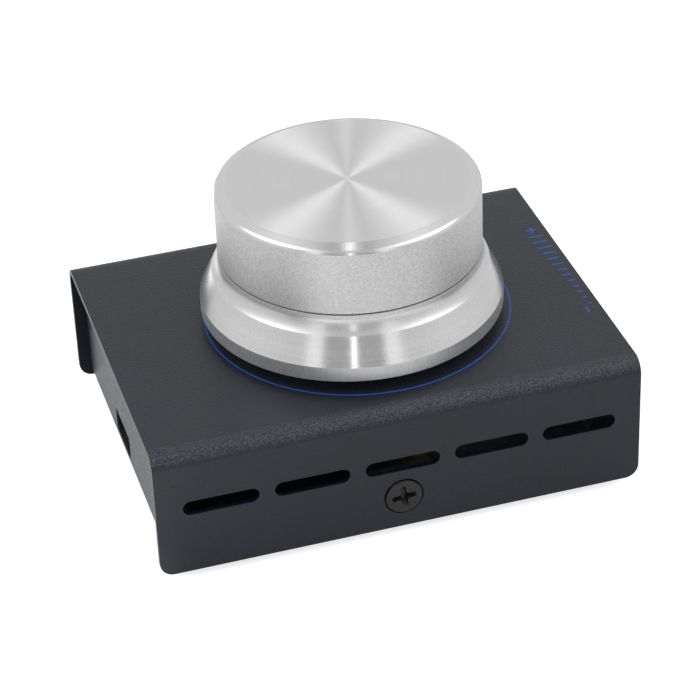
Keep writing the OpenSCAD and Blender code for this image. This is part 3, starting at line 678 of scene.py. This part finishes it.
# radii, and heights above the knob's lower face, in millimetres
RIM_R, RIM_H = 27.3, 2.7
SKIRT_R, SKIRT_H = 24.9, 7.7
GRIP_R, HOLLOW_H = 23.65, 2.6
GROOVE_Z, GROOVE_SIZE = 11.3, 0.3
TOP_H = 24.5
BEVELS = ((23.65, 23.2), (23.4, 23.65), (23.0, 23.95), (21.5, 24.5))
RECESS_R, RECESS_H = 21.0, 5.2
POCKET_R, POCKET_TOP = 7.03, 18.03
KEY_HALF_W, KEY_REACH = 1.03, 8.03
HOLLOW_STEPS = 20


def hollow_arc():
    """Points of the hollow between the skirt and the grip, from the skirt up."""
    turn = 2 * math.atan((SKIRT_R - GRIP_R) / HOLLOW_H)
    radius = HOLLOW_H / math.sin(turn)
    top = SKIRT_H + HOLLOW_H
    angles = [turn * i / HOLLOW_STEPS for i in range(HOLLOW_STEPS, -1, -1)]
    return [(GRIP_R + radius * (1 - math.cos(a)), top - radius * math.sin(a)) for a in angles]


def knob_outline():
    """Outline of the whole turning, from the middle of the top round to the hub's pocket."""
    half = GROOVE_SIZE / 2
    groove = [
        (GRIP_R, GROOVE_Z - half),
        (GRIP_R - GROOVE_SIZE, GROOVE_Z - half),
        (GRIP_R - GROOVE_SIZE, GROOVE_Z + half),
        (GRIP_R, GROOVE_Z + half),
    ]
    below = [(0.0, POCKET_TOP), (POCKET_R, POCKET_TOP), (POCKET_R, RECESS_H), (RECESS_R, RECESS_H)]
    below += [(RECESS_R, 0.0), (RIM_R, 0.0), (RIM_R, RIM_H)]
    points = below + hollow_arc() + groove + list(BEVELS) + [(0.0, TOP_H)]
    return [(r * MM, KNOB_LOW.z + h * MM) for r, h in points]


def knob_finish_at(face):
    """Number of the finish that a face of the knob carries."""
    centre = face.calc_center_median()
    r = math.hypot(centre.x - AXIS_X, centre.y - AXIS_Y) / MM
    h = (centre.z - KNOB_LOW.z) / MM
    half = GROOVE_SIZE / 2
    if h > TOP_H - 0.01:
        return 0  # spun top
    if h > BEVELS[0][1] and r > POCKET_R:
        return 1  # polished bevels
    if abs(h - GROOVE_Z) <= half + 0.001 and r > RECESS_R:
        return 5  # groove
    if h > SKIRT_H + HOLLOW_H - 0.01 and r > RECESS_R:
        return 2  # blasted grip
    if r > RECESS_R and h > SKIRT_H:
        return 7  # satin hollow
    if r > RECESS_R and h > RIM_H:
        return 3  # skirt
    if r > RIM_R - 0.2 and h > 0.01:
        return 4  # rim
    return 6  # underside


def cut_keyway(bm):
    """Opens the slot for the hub's key in the wall of the pocket."""
    half, reach = KEY_HALF_W * MM, KEY_REACH * MM
    for side in (-1, 1):
        wall = [f for f in bm.faces if on_pocket_wall(f)]
        around = wall + [e for f in wall for e in f.edges] + [v for f in wall for v in f.verts]
        bmesh.ops.bisect_plane(
            bm,
            geom=list(dict.fromkeys(around)),
            plane_co=(AXIS_X + side * half, AXIS_Y, 0.0),
            plane_no=(1.0, 0.0, 0.0),
        )
    slot = [
        f
        for f in bm.faces
        if on_pocket_wall(f)
        and abs(f.calc_center_median().x - AXIS_X) < half
        and f.calc_center_median().y > AXIS_Y
    ]
    grown = bmesh.ops.extrude_face_region(bm, geom=slot)["geom"]
    bmesh.ops.delete(bm, geom=slot, context="FACES_ONLY")
    for vert in (v for v in grown if isinstance(v, bmesh.types.BMVert)):
        vert.co.y = AXIS_Y + reach


def on_pocket_wall(face):
    """True for the upright faces of the hub's pocket."""
    centre = face.calc_center_median()
    r = math.hypot(centre.x - AXIS_X, centre.y - AXIS_Y) / MM
    return abs(face.normal.z) < 0.5 and abs(r - POCKET_R) < 0.05


class VOLUME_KNOB_OT_knob(bpy.types.Operator):
    """Turn the knob and give each band of it its finish"""

    bl_idname = "volume_knob.knob"
    bl_label = "Turn the knob"

    def execute(self, context):
        look = context.scene.volume_knob_knob
        metal = tuple(look.metal)
        bm = spin_outline(knob_outline(), look.steps)
        for face in bm.faces:
            face.material_index = knob_finish_at(face)
        rings = [
            e
            for e in sharper_than(bm, 12)
            if abs(e.verts[0].co.z - e.verts[1].co.z) < MERGE
            and math.hypot(e.verts[0].co.x - AXIS_X, e.verts[0].co.y - AXIS_Y) > (POCKET_R + 1) * MM
        ]
        break_edges(bm, rings, look.edge, 2)
        cut_keyway(bm)
        feed, coarse = look.feed, 2 * look.feed
        # the groove's share, 0.45, darkens its metal as painted shade in the groove
        bevel, groove, under, hollow = (scaled(metal, share) for share in (0.94, 0.45, 0.9, 0.92))
        finishes = [
            turned_metal("spun aluminium top", metal, 0.385, 1.0, feed, 0.0003 * MM, 0.97),
            turned_metal("polished aluminium bevel", bevel, 0.2, 0.75, feed, 0.0004 * MM),
            blasted_metal("blasted aluminium grip", metal, look.blast),
            turned_metal("polished aluminium skirt", metal, 0.18, 0.8, feed, 0.0006 * MM, 0.88),
            hatched_metal("turned aluminium rim", metal),
            turned_metal("aluminium groove", groove, 0.45, 0.3, feed, 0.0005 * MM),
            turned_metal("turned aluminium underside", under, 0.4, 0.5, coarse, 0.001 * MM),
            turned_metal("satin aluminium hollow", hollow, 0.28, 0.9, feed, 0.0006 * MM),
        ]
        hand_over(bm, "knob_turning", finishes, "knob", ["knob_body"])
        return {"FINISHED"}


# ---- the case ----


# the slots of the flanges lie between these heights over the cover's lower edge, and the faces
# that line them between these depths under the flange, all in millimetres
SLOT_LOW, SLOT_HIGH = 9.0, 19.0
SLOT_OUT, SLOT_IN = 0.12, 1.3
# a face this far in from the outside of a sheet looks into the case
INNER_SIDE, TOP_UNDERSIDE = 0.7, 1.6


class VOLUME_KNOB_OT_case(bpy.types.Operator):
    """Copy the cover and the tray, with coated, rounded edges"""

    bl_idname = "volume_knob.case"
    bl_label = "Fold the case"

    def execute(self, context):
        look = context.scene.volume_knob_case
        colour, grain = tuple(look.coat), look.grain
        coat = powder_coat("black powder coat", colour, grain)
        # the slot walls get a darker, duller coat here, as painted shade in the slots
        thin = powder_coat("thin coat in the slots", linear("#0e1622"), grain, 0.7, 0.0, 0.1)
        panel = powder_coat("tray powder coat", colour, grain, 0.4, 0.1, 0.43)
        # the coat inside the cover is duller, and darkened to three quarters of its colour as painted shade inside
        # the case
        inner = powder_coat("coat inside the cover", scaled(colour, 0.75), grain, 0.6, 0.05, 0.22)
        dull, bright = linear("#a4a8b0"), linear("#b8bcc4")
        zinc = plated_metal("zinc inside the tray", dull, bright, 0.5, 3 * MM)
        for node, name in (("top_cover", "cover_sheet"), ("base_tray", "tray_sheet")):
            bm = merged_copy(node)
            break_edges(bm, sharper_than(bm, 60), look.edge)
            for face in bm.faces:
                if self.in_slot_wall(face):
                    face.material_index = 1
                elif node == "base_tray":
                    face.material_index = 2 if self.inside_tray(face) else 3
                elif self.inside_cover(face):
                    face.material_index = 4
            hand_over(bm, name, [coat, thin, zinc, panel, inner], "enclosure", [node])
        return {"FINISHED"}

    @staticmethod
    def inside_tray(face):
        """True for the faces of the tray that look into the case, where no powder lands."""
        centre = face.calc_center_median()
        inward = (TRAY_LOW + TRAY_HIGH) / 2 - centre
        low, high = centre - TRAY_LOW, TRAY_HIGH - centre
        deep = min(*low, high.x, high.y) > INNER_SIDE * MM
        return deep and face.normal.dot(inward) > 0.0

    @staticmethod
    def inside_cover(face):
        """True for the faces of the cover that look into the case, where the coat is duller and is painted darker
        as shade.
        """
        centre = face.calc_center_median()
        below = (COVER_HIGH.z - centre.z) / MM
        beside = (COVER_HIGH.y - abs(centre.y)) / MM
        if face.normal.z < -0.7:
            return INNER_SIDE < below < TOP_UNDERSIDE
        inward = abs(face.normal.y) > 0.7 and face.normal.y * centre.y < 0.0
        return beside > INNER_SIDE and inward

    @staticmethod
    def in_slot_wall(face):
        """True for the faces that line a slot of the cover's flanges, which get a darker coat as painted shade."""
        centre = face.calc_center_median()
        level = SLOT_LOW < (centre.z - COVER_LOW.z) / MM < SLOT_HIGH
        within = SLOT_OUT < (COVER_HIGH.y - abs(centre.y)) / MM < SLOT_IN
        crosswise = abs(face.normal.y) < 0.5 and abs(centre.x) < COVER_HIGH.x - 1 * MM
        return level and within and crosswise


# head of a cover screw, in millimetres
HEAD_R, HEAD_T, HEAD_ROUND = 3.3, 1.1, 0.26
SHANK_R, SHANK_L = 1.5, 5.0
CROSS_ARM, CROSS_SLOT, CROSS_CORE, CROSS_DEPTH = 2.2, 1.05, 2.0, 1.3
CROSS_TURN, CROSS_TAPER = 7.0, 0.62


def in_cross(x, y):
    """True inside the cross recess, seen along the screw."""
    arm = CROSS_ARM * MM
    slot = CROSS_SLOT * MM / 2
    core = CROSS_CORE * MM / 2
    if max(abs(x), abs(y)) > arm:
        return False
    return min(abs(x), abs(y)) < slot or abs(x) + abs(y) < core * math.sqrt(2)


def cover_screw():
    """One flat cross-recess screw, its head's face at zero and its shank along -Z."""
    bm = bmesh.new()
    bmesh.ops.create_circle(bm, cap_ends=True, radius=HEAD_R * MM, segments=96)
    arm, slot, core = CROSS_ARM * MM, CROSS_SLOT * MM / 2, CROSS_CORE * MM / 2
    cuts = [((0, s * d, 0), (0, 1, 0)) for s in (-1, 1) for d in (slot, arm)]
    cuts += [((s * d, 0, 0), (1, 0, 0)) for s in (-1, 1) for d in (slot, arm)]
    corner = core / math.sqrt(2)
    cuts += [((a * corner, b * corner, 0), (a, b, 0)) for a in (-1, 1) for b in (-1, 1)]
    for point, facing in cuts:
        bmesh.ops.bisect_plane(
            bm, geom=bm.faces[:] + bm.edges[:] + bm.verts[:], plane_co=point, plane_no=facing
        )
    recess = [f for f in bm.faces if in_cross(*f.calc_center_median().xy)]
    around = [f for f in bm.faces if not in_cross(*f.calc_center_median().xy)]
    # the head and the shank hang below the face's outer ring
    rim = [e for e in bm.edges if e.is_boundary]
    side = bmesh.ops.extrude_edge_only(bm, edges=rim)["geom"]
    lower = [v for v in side if isinstance(v, bmesh.types.BMVert)]
    bmesh.ops.translate(bm, verts=lower, vec=(0, 0, -HEAD_T * MM))
    ring = [e for e in side if isinstance(e, bmesh.types.BMEdge) and e.is_boundary]
    seat = bmesh.ops.extrude_edge_only(bm, edges=ring)["geom"]
    neck = [v for v in seat if isinstance(v, bmesh.types.BMVert)]
    share = SHANK_R / HEAD_R
    bmesh.ops.scale(bm, verts=neck, vec=(share, share, 1))
    ring = [e for e in seat if isinstance(e, bmesh.types.BMEdge) and e.is_boundary]
    shank = bmesh.ops.extrude_edge_only(bm, edges=ring)["geom"]
    tip = [v for v in shank if isinstance(v, bmesh.types.BMVert)]
    bmesh.ops.translate(bm, verts=tip, vec=(0, 0, -SHANK_L * MM))
    ring = [e for e in shank if isinstance(e, bmesh.types.BMEdge) and e.is_boundary]
    bmesh.ops.edgeloop_fill(bm, edges=ring)
    # the recess tapers to its floor
    grown = bmesh.ops.extrude_face_region(bm, geom=recess)["geom"]
    bmesh.ops.delete(bm, geom=recess, context="FACES_ONLY")
    floor = [v for v in grown if isinstance(v, bmesh.types.BMVert)]
    bmesh.ops.translate(bm, verts=floor, vec=(0, 0, -CROSS_DEPTH * MM))
    bmesh.ops.scale(bm, verts=floor, vec=(CROSS_TAPER, CROSS_TAPER, 1))
    bmesh.ops.remove_doubles(bm, verts=bm.verts, dist=MERGE)
    bmesh.ops.dissolve_limit(
        bm,
        angle_limit=math.radians(0.4),
        use_dissolve_boundaries=False,
        verts=bm.verts,
        edges=bm.edges,
        delimit=set(),
    )
    bmesh.ops.recalc_face_normals(bm, faces=bm.faces)
    outer = [
        e
        for e in sharper_than(bm, 60)
        if all(v.co.z > -MERGE and v.co.xy.length > 0.98 * HEAD_R * MM for v in e.verts)
    ]
    break_edges(bm, outer, HEAD_ROUND * MM, 3)
    lips = [
        e
        for e in sharper_than(bm, 40)
        if all(v.co.z > -MERGE and v.co.xy.length < 0.7 * HEAD_R * MM for v in e.verts)
    ]
    break_edges(bm, lips, 0.05 * MM, 2)
    return bm


class VOLUME_KNOB_OT_screws(bpy.types.Operator):
    """Make the two cross-recess screws that hold the cover"""

    bl_idname = "volume_knob.screws"
    bl_label = "Make the cover screws"

    def execute(self, context):
        black = plated_metal(
            "black oxide screw", linear("#3a3a3b"), linear("#4b4a4a"), 0.4, 0.4 * MM, 0.8
        )
        middle_z = (SCREW_LOW.z + SCREW_HIGH.z) / 2
        for node, name, side in (
            ("cover_screw_front", "screw_front", -1),
            ("cover_screw_back", "screw_back", 1),
        ):
            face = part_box(node)[0 if side < 0 else 1].y
            bm = cover_screw()
            turn = Matrix.Rotation(math.radians(CROSS_TURN), 4, "Z")
            stand = Matrix.Rotation(math.radians(90), 4, "X")
            swing = Matrix.Rotation(math.pi if side > 0 else 0.0, 4, "Z")
            bmesh.ops.transform(
                bm,
                matrix=Matrix.Translation((0.0, face, middle_z)) @ swing @ stand @ turn,
                verts=bm.verts,
            )
            hand_over(bm, name, [black], "enclosure", [node])
        return {"FINISHED"}


# ---- printed marks ----

# in millimetres: thickness of the printed film, and places of the level scale and the socket mark
INK_T, RING_STEPS = 0.02, 192
SCALE_RIGHT, SCALE_END, MARK_W = 42.7, 12.4, 0.5
SHORT_MARK, LONG_MARK = 0.7, 3.0
SIGN_IN, SIGN_ARM, MINUS_Y, PLUS_Y = 1.5, 0.95, -14.4, 14.9
SOCKET_MARK_Z, SOCKET_LINES, SOCKET_LINE_W = 12.75, ((-3.4, 2.2), (6.4, 11.6)), 0.4
ARROW_Y, ARROW_R, ARROW_UP = 4.3, 1.5, 0.1


class VOLUME_KNOB_OT_marks(bpy.types.Operator):
    """Print the ring round the knob, the level scale and the mark over the socket"""

    bl_idname = "volume_knob.marks"
    bl_label = "Print the marks"

    def execute(self, context):
        look = context.scene.volume_knob_case
        ink = ink_print("blue printed ink", tuple(look.ink))
        pale = ink_print("pale blue printed ink", linear("#6f7596"))
        top = COVER_HIGH.z
        film = INK_T * MM
        inner, outer = (look.ring_radius + s * look.ring_width / 2 for s in (-1, 1))
        corners = [(inner, top), (outer, top), (outer, top + film), (inner, top + film)]
        bm = spin_outline(corners + corners[:1], RING_STEPS)
        bmesh.ops.translate(bm, verts=bm.verts, vec=toward(look.ring_front, look.ring_right))
        hand_over(bm, "printed_ring", [ink], "enclosure")

        bm = bmesh.new()
        half = MARK_W / 2
        marks = []
        for i in range(look.level_marks):
            share = i / (look.level_marks - 1)
            y = SCALE_END * (2 * share - 1)
            reach = SHORT_MARK + (LONG_MARK - SHORT_MARK) * share
            marks.append((SCALE_RIGHT - reach, y - half, SCALE_RIGHT, y + half))
        middle = SCALE_RIGHT - SIGN_IN
        for y in (MINUS_Y, PLUS_Y):
            marks.append((middle - half, y - SIGN_ARM, middle + half, y + SIGN_ARM))
        # the plus sign's second stroke is in two parts, so that no film lies on film
        marks.append((middle - SIGN_ARM, PLUS_Y - half, middle - half, PLUS_Y + half))
        marks.append((middle + half, PLUS_Y - half, middle + SIGN_ARM, PLUS_Y + half))
        for x1, y1, x2, y2 in marks:
            slab(bm, (x1 * MM, y1 * MM, top), (x2 * MM, y2 * MM, top + film))
        hand_over(bm, "printed_level_scale", [ink], "enclosure")

        bm = bmesh.new()
        face, out = TRAY_LOW.x, TRAY_LOW.x - film
        z, half = SOCKET_MARK_Z * MM, SOCKET_LINE_W * MM / 2
        for start, end in SOCKET_LINES:
            slab(bm, (out, start * MM, z - half), (face, end * MM, z + half))
        bmesh.ops.create_cone(
            bm,
            cap_ends=True,
            segments=3,
            radius1=ARROW_R * MM,
            radius2=ARROW_R * MM,
            depth=film,
            matrix=Matrix.Translation((face - film / 2, ARROW_Y * MM, z + ARROW_UP * MM))
            @ Matrix.Rotation(math.radians(90), 4, "Y"),
        )
        hand_over(bm, "printed_socket_mark", [pale], "enclosure")
        return {"FINISHED"}


# ---- small parts ----

# softened copies of small parts that can be seen: node, name, rounding in millimetres, slot
SOFTENED = (
    ("usb_shell", "socket_shell", 0.04, "plated_steel"),
    ("usb_tongue", "socket_tongue", 0.05, "black_plastic"),
)

# share of its height that the snap dome keeps: it is drawn as flat as the fully pressed plunger
# leaves it, so that nothing cuts through it at any pose
DOME_LEFT = 0.28


def small_part_finishes():
    """Finish of each material slot of the small parts."""
    nickel = plated_metal("nickel plate", linear("#c9c9c5"), linear("#dcdcd8"), 0.28)
    return {
        "rubber": foot_rubber("foot rubber", linear("#1d1d1e")),
        "black_steel": plated_metal("black oxide", linear("#2c2d30"), linear("#3a3b3f"), 0.4),
        "plated_steel": nickel,
        "brass": plated_metal("turned brass", linear("#c2a25a"), linear("#d8bd78"), 0.3),
        "gold_contact": plated_metal("gold flash", linear("#d9ae4a"), linear("#efca6b"), 0.25),
        "board": solder_mask("green solder mask", linear("#1f6b3f")),
        "black_plastic": moulded_plastic("black moulded plastic", linear("#1c1c1e"), 0.48),
        "white_plastic": moulded_plastic("white acetal", linear("#e3e3de"), 0.42),
        "capacitor_sleeve": moulded_plastic("shrunk sleeve", linear("#232f55"), 0.25, 0.5 * MM),
        "ceramic": moulded_plastic("fired ceramic", linear("#8a6a48"), 0.55, 0.15 * MM),
        "aluminium": plated_metal(
            "turned aluminium shaft", linear("#d5d5d5"), linear("#e6e6e6"), 0.32
        ),
        "black_coat": powder_coat("inner black coat", linear("#27282b"), 0.24 * MM),
    }


class VOLUME_KNOB_OT_small_parts(bpy.types.Operator):
    """Give every part inside and under the case its finish"""

    bl_idname = "volume_knob.small_parts"
    bl_label = "Finish the small parts"

    def execute(self, context):
        finishes = small_part_finishes()
        slots = {part["node"]: part["material_slot"] for part in frame["record"]["subparts"]}
        for name, slot in slots.items():
            node = frame["nodes"][name]
            node.data.materials.clear()
            node.data.materials.append(finishes[slot])
        for node, name, width, slot in SOFTENED:
            bm = merged_copy(node)
            break_edges(bm, sharper_than(bm, 60), width * MM)
            hand_over(bm, name, [finishes[slot]], "enclosure", [node])
        dome = merged_copy("switch_dome")
        base = Matrix.Translation((0.0, 0.0, -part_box("switch_dome")[0].z))
        bmesh.ops.scale(dome, verts=dome.verts, vec=(1.0, 1.0, DOME_LEFT), space=base)
        slot = slots["switch_dome"]
        hand_over(dome, "snap_dome", [finishes[slot]], "enclosure", ["switch_dome"])
        return {"FINISHED"}


# ---- the studio ----

# the camera, fitted to the edges of the case and the circles of the knob
VIEW_TURN, VIEW_LIFT, VIEW_ROLL = -15.729, 33.665, -2.315
VIEW_TARGET = (7.163, 23.230, 1.5)
VIEW_DISTANCE, VIEW_LENS, SENSOR = 517.7, 137.897, 36.0


# the tent, in parts of the unit direction: x towards the camera, z up
PANEL_START, PANEL_FULL, PANEL_FADE, PANEL_END = 0.45, 0.86, 0.76, 1.03  # along z
PANEL_BACK, PANEL_FRONT = (-0.36, -0.30), (0.80, -0.10)  # along x
ZENITH_DIM, CAMERA_SIDE_DIM = 0.49, 0.08
GAP_HALF, GAP_SPREAD, GAP_LIGHT, GAP_LIFT = 0.16, 0.2, 0.48, 0.21
SEAM_HALF, SEAM_SPREAD, SEAM_FROM = 0.011, 0.013, -0.29
SEAM_LIGHT_BACK, SEAM_LIGHT_FRONT, BORDER_LIGHT = 3.0, 1.9, 0.35

# the desk top, in metres from its middle: where the strip in front of the object and the glow
# at the socket's end start, are full, begin to fade and end, and how bright they are
STRIP, STRIP_LIGHT = (0.06, 0.076, 0.08, 0.105), 0.52
GLOW, GLOW_LIGHT = (0.038, 0.045, 0.07, 0.1), 0.5
MIRRORED_LIGHT, SHOWN_LIGHT = 0.1, 0.72
FAR_DIM, FRONT_DIM = 0.25, 0.38


def toward(x, y):
    """Direction on the desk: x towards the camera and y to its right."""
    turn = math.radians(VIEW_TURN)
    back = Vector((math.sin(turn), -math.cos(turn), 0.0))
    right = Vector((math.cos(turn), math.sin(turn), 0.0))
    return x * back + y * right


def tent_brightness(tree, look):
    """Brightness of the light tent by direction.

    One large panel shines through the tent from either side, high up. Between the two the tent
    is darker, with a narrow bright seam down the middle.
    """
    sight = add(tree, "ShaderNodeTexCoord").outputs["Generated"]
    x = along(tree, sight, toward(1, 0))
    side = sums(tree, "ABSOLUTE", along(tree, sight, toward(0, 1)))
    z = axis(tree, sight, "Z")
    upright = rise(tree, z, PANEL_START, PANEL_FULL, 0.0, look.roof)
    upright = times(tree, upright, rise(tree, z, PANEL_END, PANEL_FADE))
    across = times(tree, rise(tree, x, *PANEL_BACK), rise(tree, x, *PANEL_FRONT))
    panels = plus(tree, times(tree, upright, across), look.walls)
    # the tent is a little dimmer straight above, and towards the camera
    panels = sums(tree, "SUBTRACT", panels, rise(tree, z, 0.85, 0.97, 0.0, ZENITH_DIM))
    panels = sums(tree, "SUBTRACT", panels, rise(tree, x, 0.3, 0.7, 0.0, CAMERA_SIDE_DIM))
    # the gap between the panels widens towards the camera
    beyond = sums(tree, "SUBTRACT", side, plus(tree, times(tree, x, GAP_SPREAD), GAP_HALF))
    outside = rise(tree, beyond, -0.02, 0.03)
    middle = sums(tree, "SUBTRACT", rise(tree, x, 0.15, 0.35), rise(tree, x, 0.80, 0.86))
    gap = plus(tree, times(tree, middle, GAP_LIFT), GAP_LIGHT)
    inside = sums(tree, "SUBTRACT", 1.0, outside)
    light = plus(tree, times(tree, panels, outside), times(tree, gap, inside))
    # the seam is a narrow line in the gap, hidden where the gap is lighter
    half_width = plus(tree, times(tree, plus(tree, x, -SEAM_FROM), SEAM_SPREAD), SEAM_HALF)
    seam = sums(tree, "LESS_THAN", side, half_width)
    seam = times(tree, seam, sums(tree, "GREATER_THAN", z, 0.0))
    seam = times(tree, seam, sums(tree, "SUBTRACT", 1.0, middle, True))
    seam_light = rise(tree, x, 0.3, 0.86, SEAM_LIGHT_BACK, SEAM_LIGHT_FRONT)
    light = plus(tree, light, times(tree, seam, seam_light))
    # the panels' edges are brighter low in front, on either side of the camera
    border = times(tree, rise(tree, beyond, 0.02, 0.08), rise(tree, beyond, 0.3, 0.16))
    border = times(tree, border, rise(tree, x, 0.55, 0.75, 0.0, BORDER_LIGHT))
    return plus(tree, light, border)


class VOLUME_KNOB_OT_studio(bpy.types.Operator):
    """Set up the desk top, the light tent and the camera"""

    bl_idname = "volume_knob.studio"
    bl_label = "Set up the studio"

    def execute(self, context):
        scene = context.scene
        look = scene.volume_knob_studio
        scene.view_settings.view_transform = "Standard"

        world = bpy.data.worlds.new("light tent")
        scene.world = world
        world.use_nodes = True
        tree = world.node_tree
        tree.nodes.clear()
        tent = add(tree, "ShaderNodeBackground", {"Strength": tent_brightness(tree, look)})
        white = add(tree, "ShaderNodeBackground", {"Color": (1.0, 1.0, 1.0, 1.0)})
        tree.links.new(
            add(
                tree,
                "ShaderNodeMixShader",
                {
                    0: add(tree, "ShaderNodeLightPath").outputs["Is Camera Ray"],
                    1: tent.outputs[0],
                    2: white.outputs[0],
                },
            ).outputs[0],
            add(tree, "ShaderNodeOutputWorld").inputs["Surface"],
        )

        bm = bmesh.new()
        bmesh.ops.create_circle(bm, cap_ends=True, radius=6.0, segments=64)
        mesh = bpy.data.meshes.new("desk_top")
        bm.to_mesh(mesh)
        bm.free()
        mesh.materials.append(self.desk_white(look))
        desk = bpy.data.objects.new("desk_top", mesh)
        scene.collection.objects.link(desk)

        camera = bpy.data.cameras.new("camera")
        camera.lens = VIEW_LENS
        camera.sensor_width = SENSOR
        camera.clip_start, camera.clip_end = 0.01, 50.0
        stand = bpy.data.objects.new("camera", camera)
        scene.collection.objects.link(stand)
        lift, roll = math.radians(VIEW_LIFT), math.radians(VIEW_ROLL)
        back = toward(math.cos(lift), 0.0) + Vector((0.0, 0.0, math.sin(lift)))
        level = (-back).cross(Vector((0.0, 0.0, 1.0))).normalized()
        upright = level.cross(-back)
        right = math.cos(roll) * level + math.sin(roll) * upright
        up = -math.sin(roll) * level + math.cos(roll) * upright
        place = (Vector(VIEW_TARGET) + VIEW_DISTANCE * back) * MM
        turn = Matrix((right, up, back)).transposed()
        stand.matrix_world = Matrix.Translation(place) @ turn.to_4x4()
        scene.camera = stand
        return {"FINISHED"}

    @staticmethod
    def desk_white(look):
        """White desk top: it keeps the object's shadow and looks white to the camera.

        To metal and gloss it also shows a light strip in front of the object and a glow at the
        socket's end, and it is dimmer far away.
        """
        material, tree, shader, place = finish(
            "white desk", Metallic=0.0, Specular_IOR_Level=0.0, Roughness=1.0
        )
        colour = tuple(look.floor)
        patch = noise(tree, place, 0.15, 2.0)
        shader.inputs["Emission Color"].default_value = (1.0, 1.0, 1.0, 1.0)
        path = add(tree, "ShaderNodeLightPath")
        ahead = along(tree, place, toward(1, 0))
        beside = times(tree, axis(tree, place, "X"), -1.0)
        away = length(tree, place)
        mirrored = sums(
            tree, "ADD", path.outputs["Is Glossy Ray"], path.outputs["Is Transmission Ray"], True
        )
        far_off = rise(tree, away, 0.1, 0.2, 0.0, FAR_DIM)
        dim = plus(tree, far_off, rise(tree, ahead, STRIP[3], 0.15, 0.0, FRONT_DIM))
        white = blend_colours(tree, span(tree, patch, 0.0, 1.0), scaled(colour, 0.99), colour)
        join(
            tree,
            blend_colours(tree, times(tree, dim, mirrored), white, scaled(colour, 0.02)),
            shader,
            "Base Color",
        )
        strip = rise(tree, ahead, STRIP[0], STRIP[1], 0.0, STRIP_LIGHT)
        strip = times(tree, strip, rise(tree, ahead, STRIP[3], STRIP[2]))
        glow = rise(tree, beside, GLOW[0], GLOW[1], 0.0, GLOW_LIGHT)
        glow = times(tree, glow, rise(tree, beside, GLOW[3], GLOW[2]))
        mirrored = times(tree, mirrored, plus(tree, plus(tree, strip, glow), MIRRORED_LIGHT))
        shown = times(tree, path.outputs["Is Camera Ray"], SHOWN_LIGHT)
        join(tree, plus(tree, mirrored, shown), shader, "Emission Strength")
        return material


class VOLUME_KNOB_PT_panel(bpy.types.Panel):
    """Sidebar panel with the sizes, colours and steps"""

    bl_idname = "VOLUME_KNOB_PT_panel"
    bl_label = "Volume knob"
    bl_space_type = "VIEW_3D"
    bl_region_type = "UI"
    bl_category = "Volume knob"

    def draw(self, context):
        for title, group in (
            ("Case", context.scene.volume_knob_case),
            ("Knob", context.scene.volume_knob_knob),
            ("Studio", context.scene.volume_knob_studio),
        ):
            box = self.layout.box()
            box.label(text=title)
            for name in group.__annotations__:
                box.prop(group, name)
        for step in STEPS:
            self.layout.operator(step.bl_idname)


STEPS = (
    VOLUME_KNOB_OT_studio,
    VOLUME_KNOB_OT_small_parts,
    VOLUME_KNOB_OT_case,
    VOLUME_KNOB_OT_screws,
    VOLUME_KNOB_OT_knob,
    VOLUME_KNOB_OT_marks,
)
GROUPS = (
    ("volume_knob_case", CaseFinish),
    ("volume_knob_knob", KnobFinish),
    ("volume_knob_studio", StudioLight),
)


def register():
    for name, group in GROUPS:
        bpy.utils.register_class(group)
        setattr(bpy.types.Scene, name, bpy.props.PointerProperty(type=group))
    for step in STEPS:
        bpy.utils.register_class(step)
    bpy.utils.register_class(VOLUME_KNOB_PT_panel)


def unregister():
    bpy.utils.unregister_class(VOLUME_KNOB_PT_panel)
    for step in reversed(STEPS):
        bpy.utils.unregister_class(step)
    for name, group in reversed(GROUPS):
        delattr(bpy.types.Scene, name)
        bpy.utils.unregister_class(group)


def main():
    register()
    bpy.ops.volume_knob.studio()
    bpy.ops.volume_knob.small_parts()
    bpy.ops.volume_knob.case()
    bpy.ops.volume_knob.screws()
    bpy.ops.volume_knob.knob()
    bpy.ops.volume_knob.marks()
    bpy.context.view_layer.update()


if __name__ == "__main__":
    main()
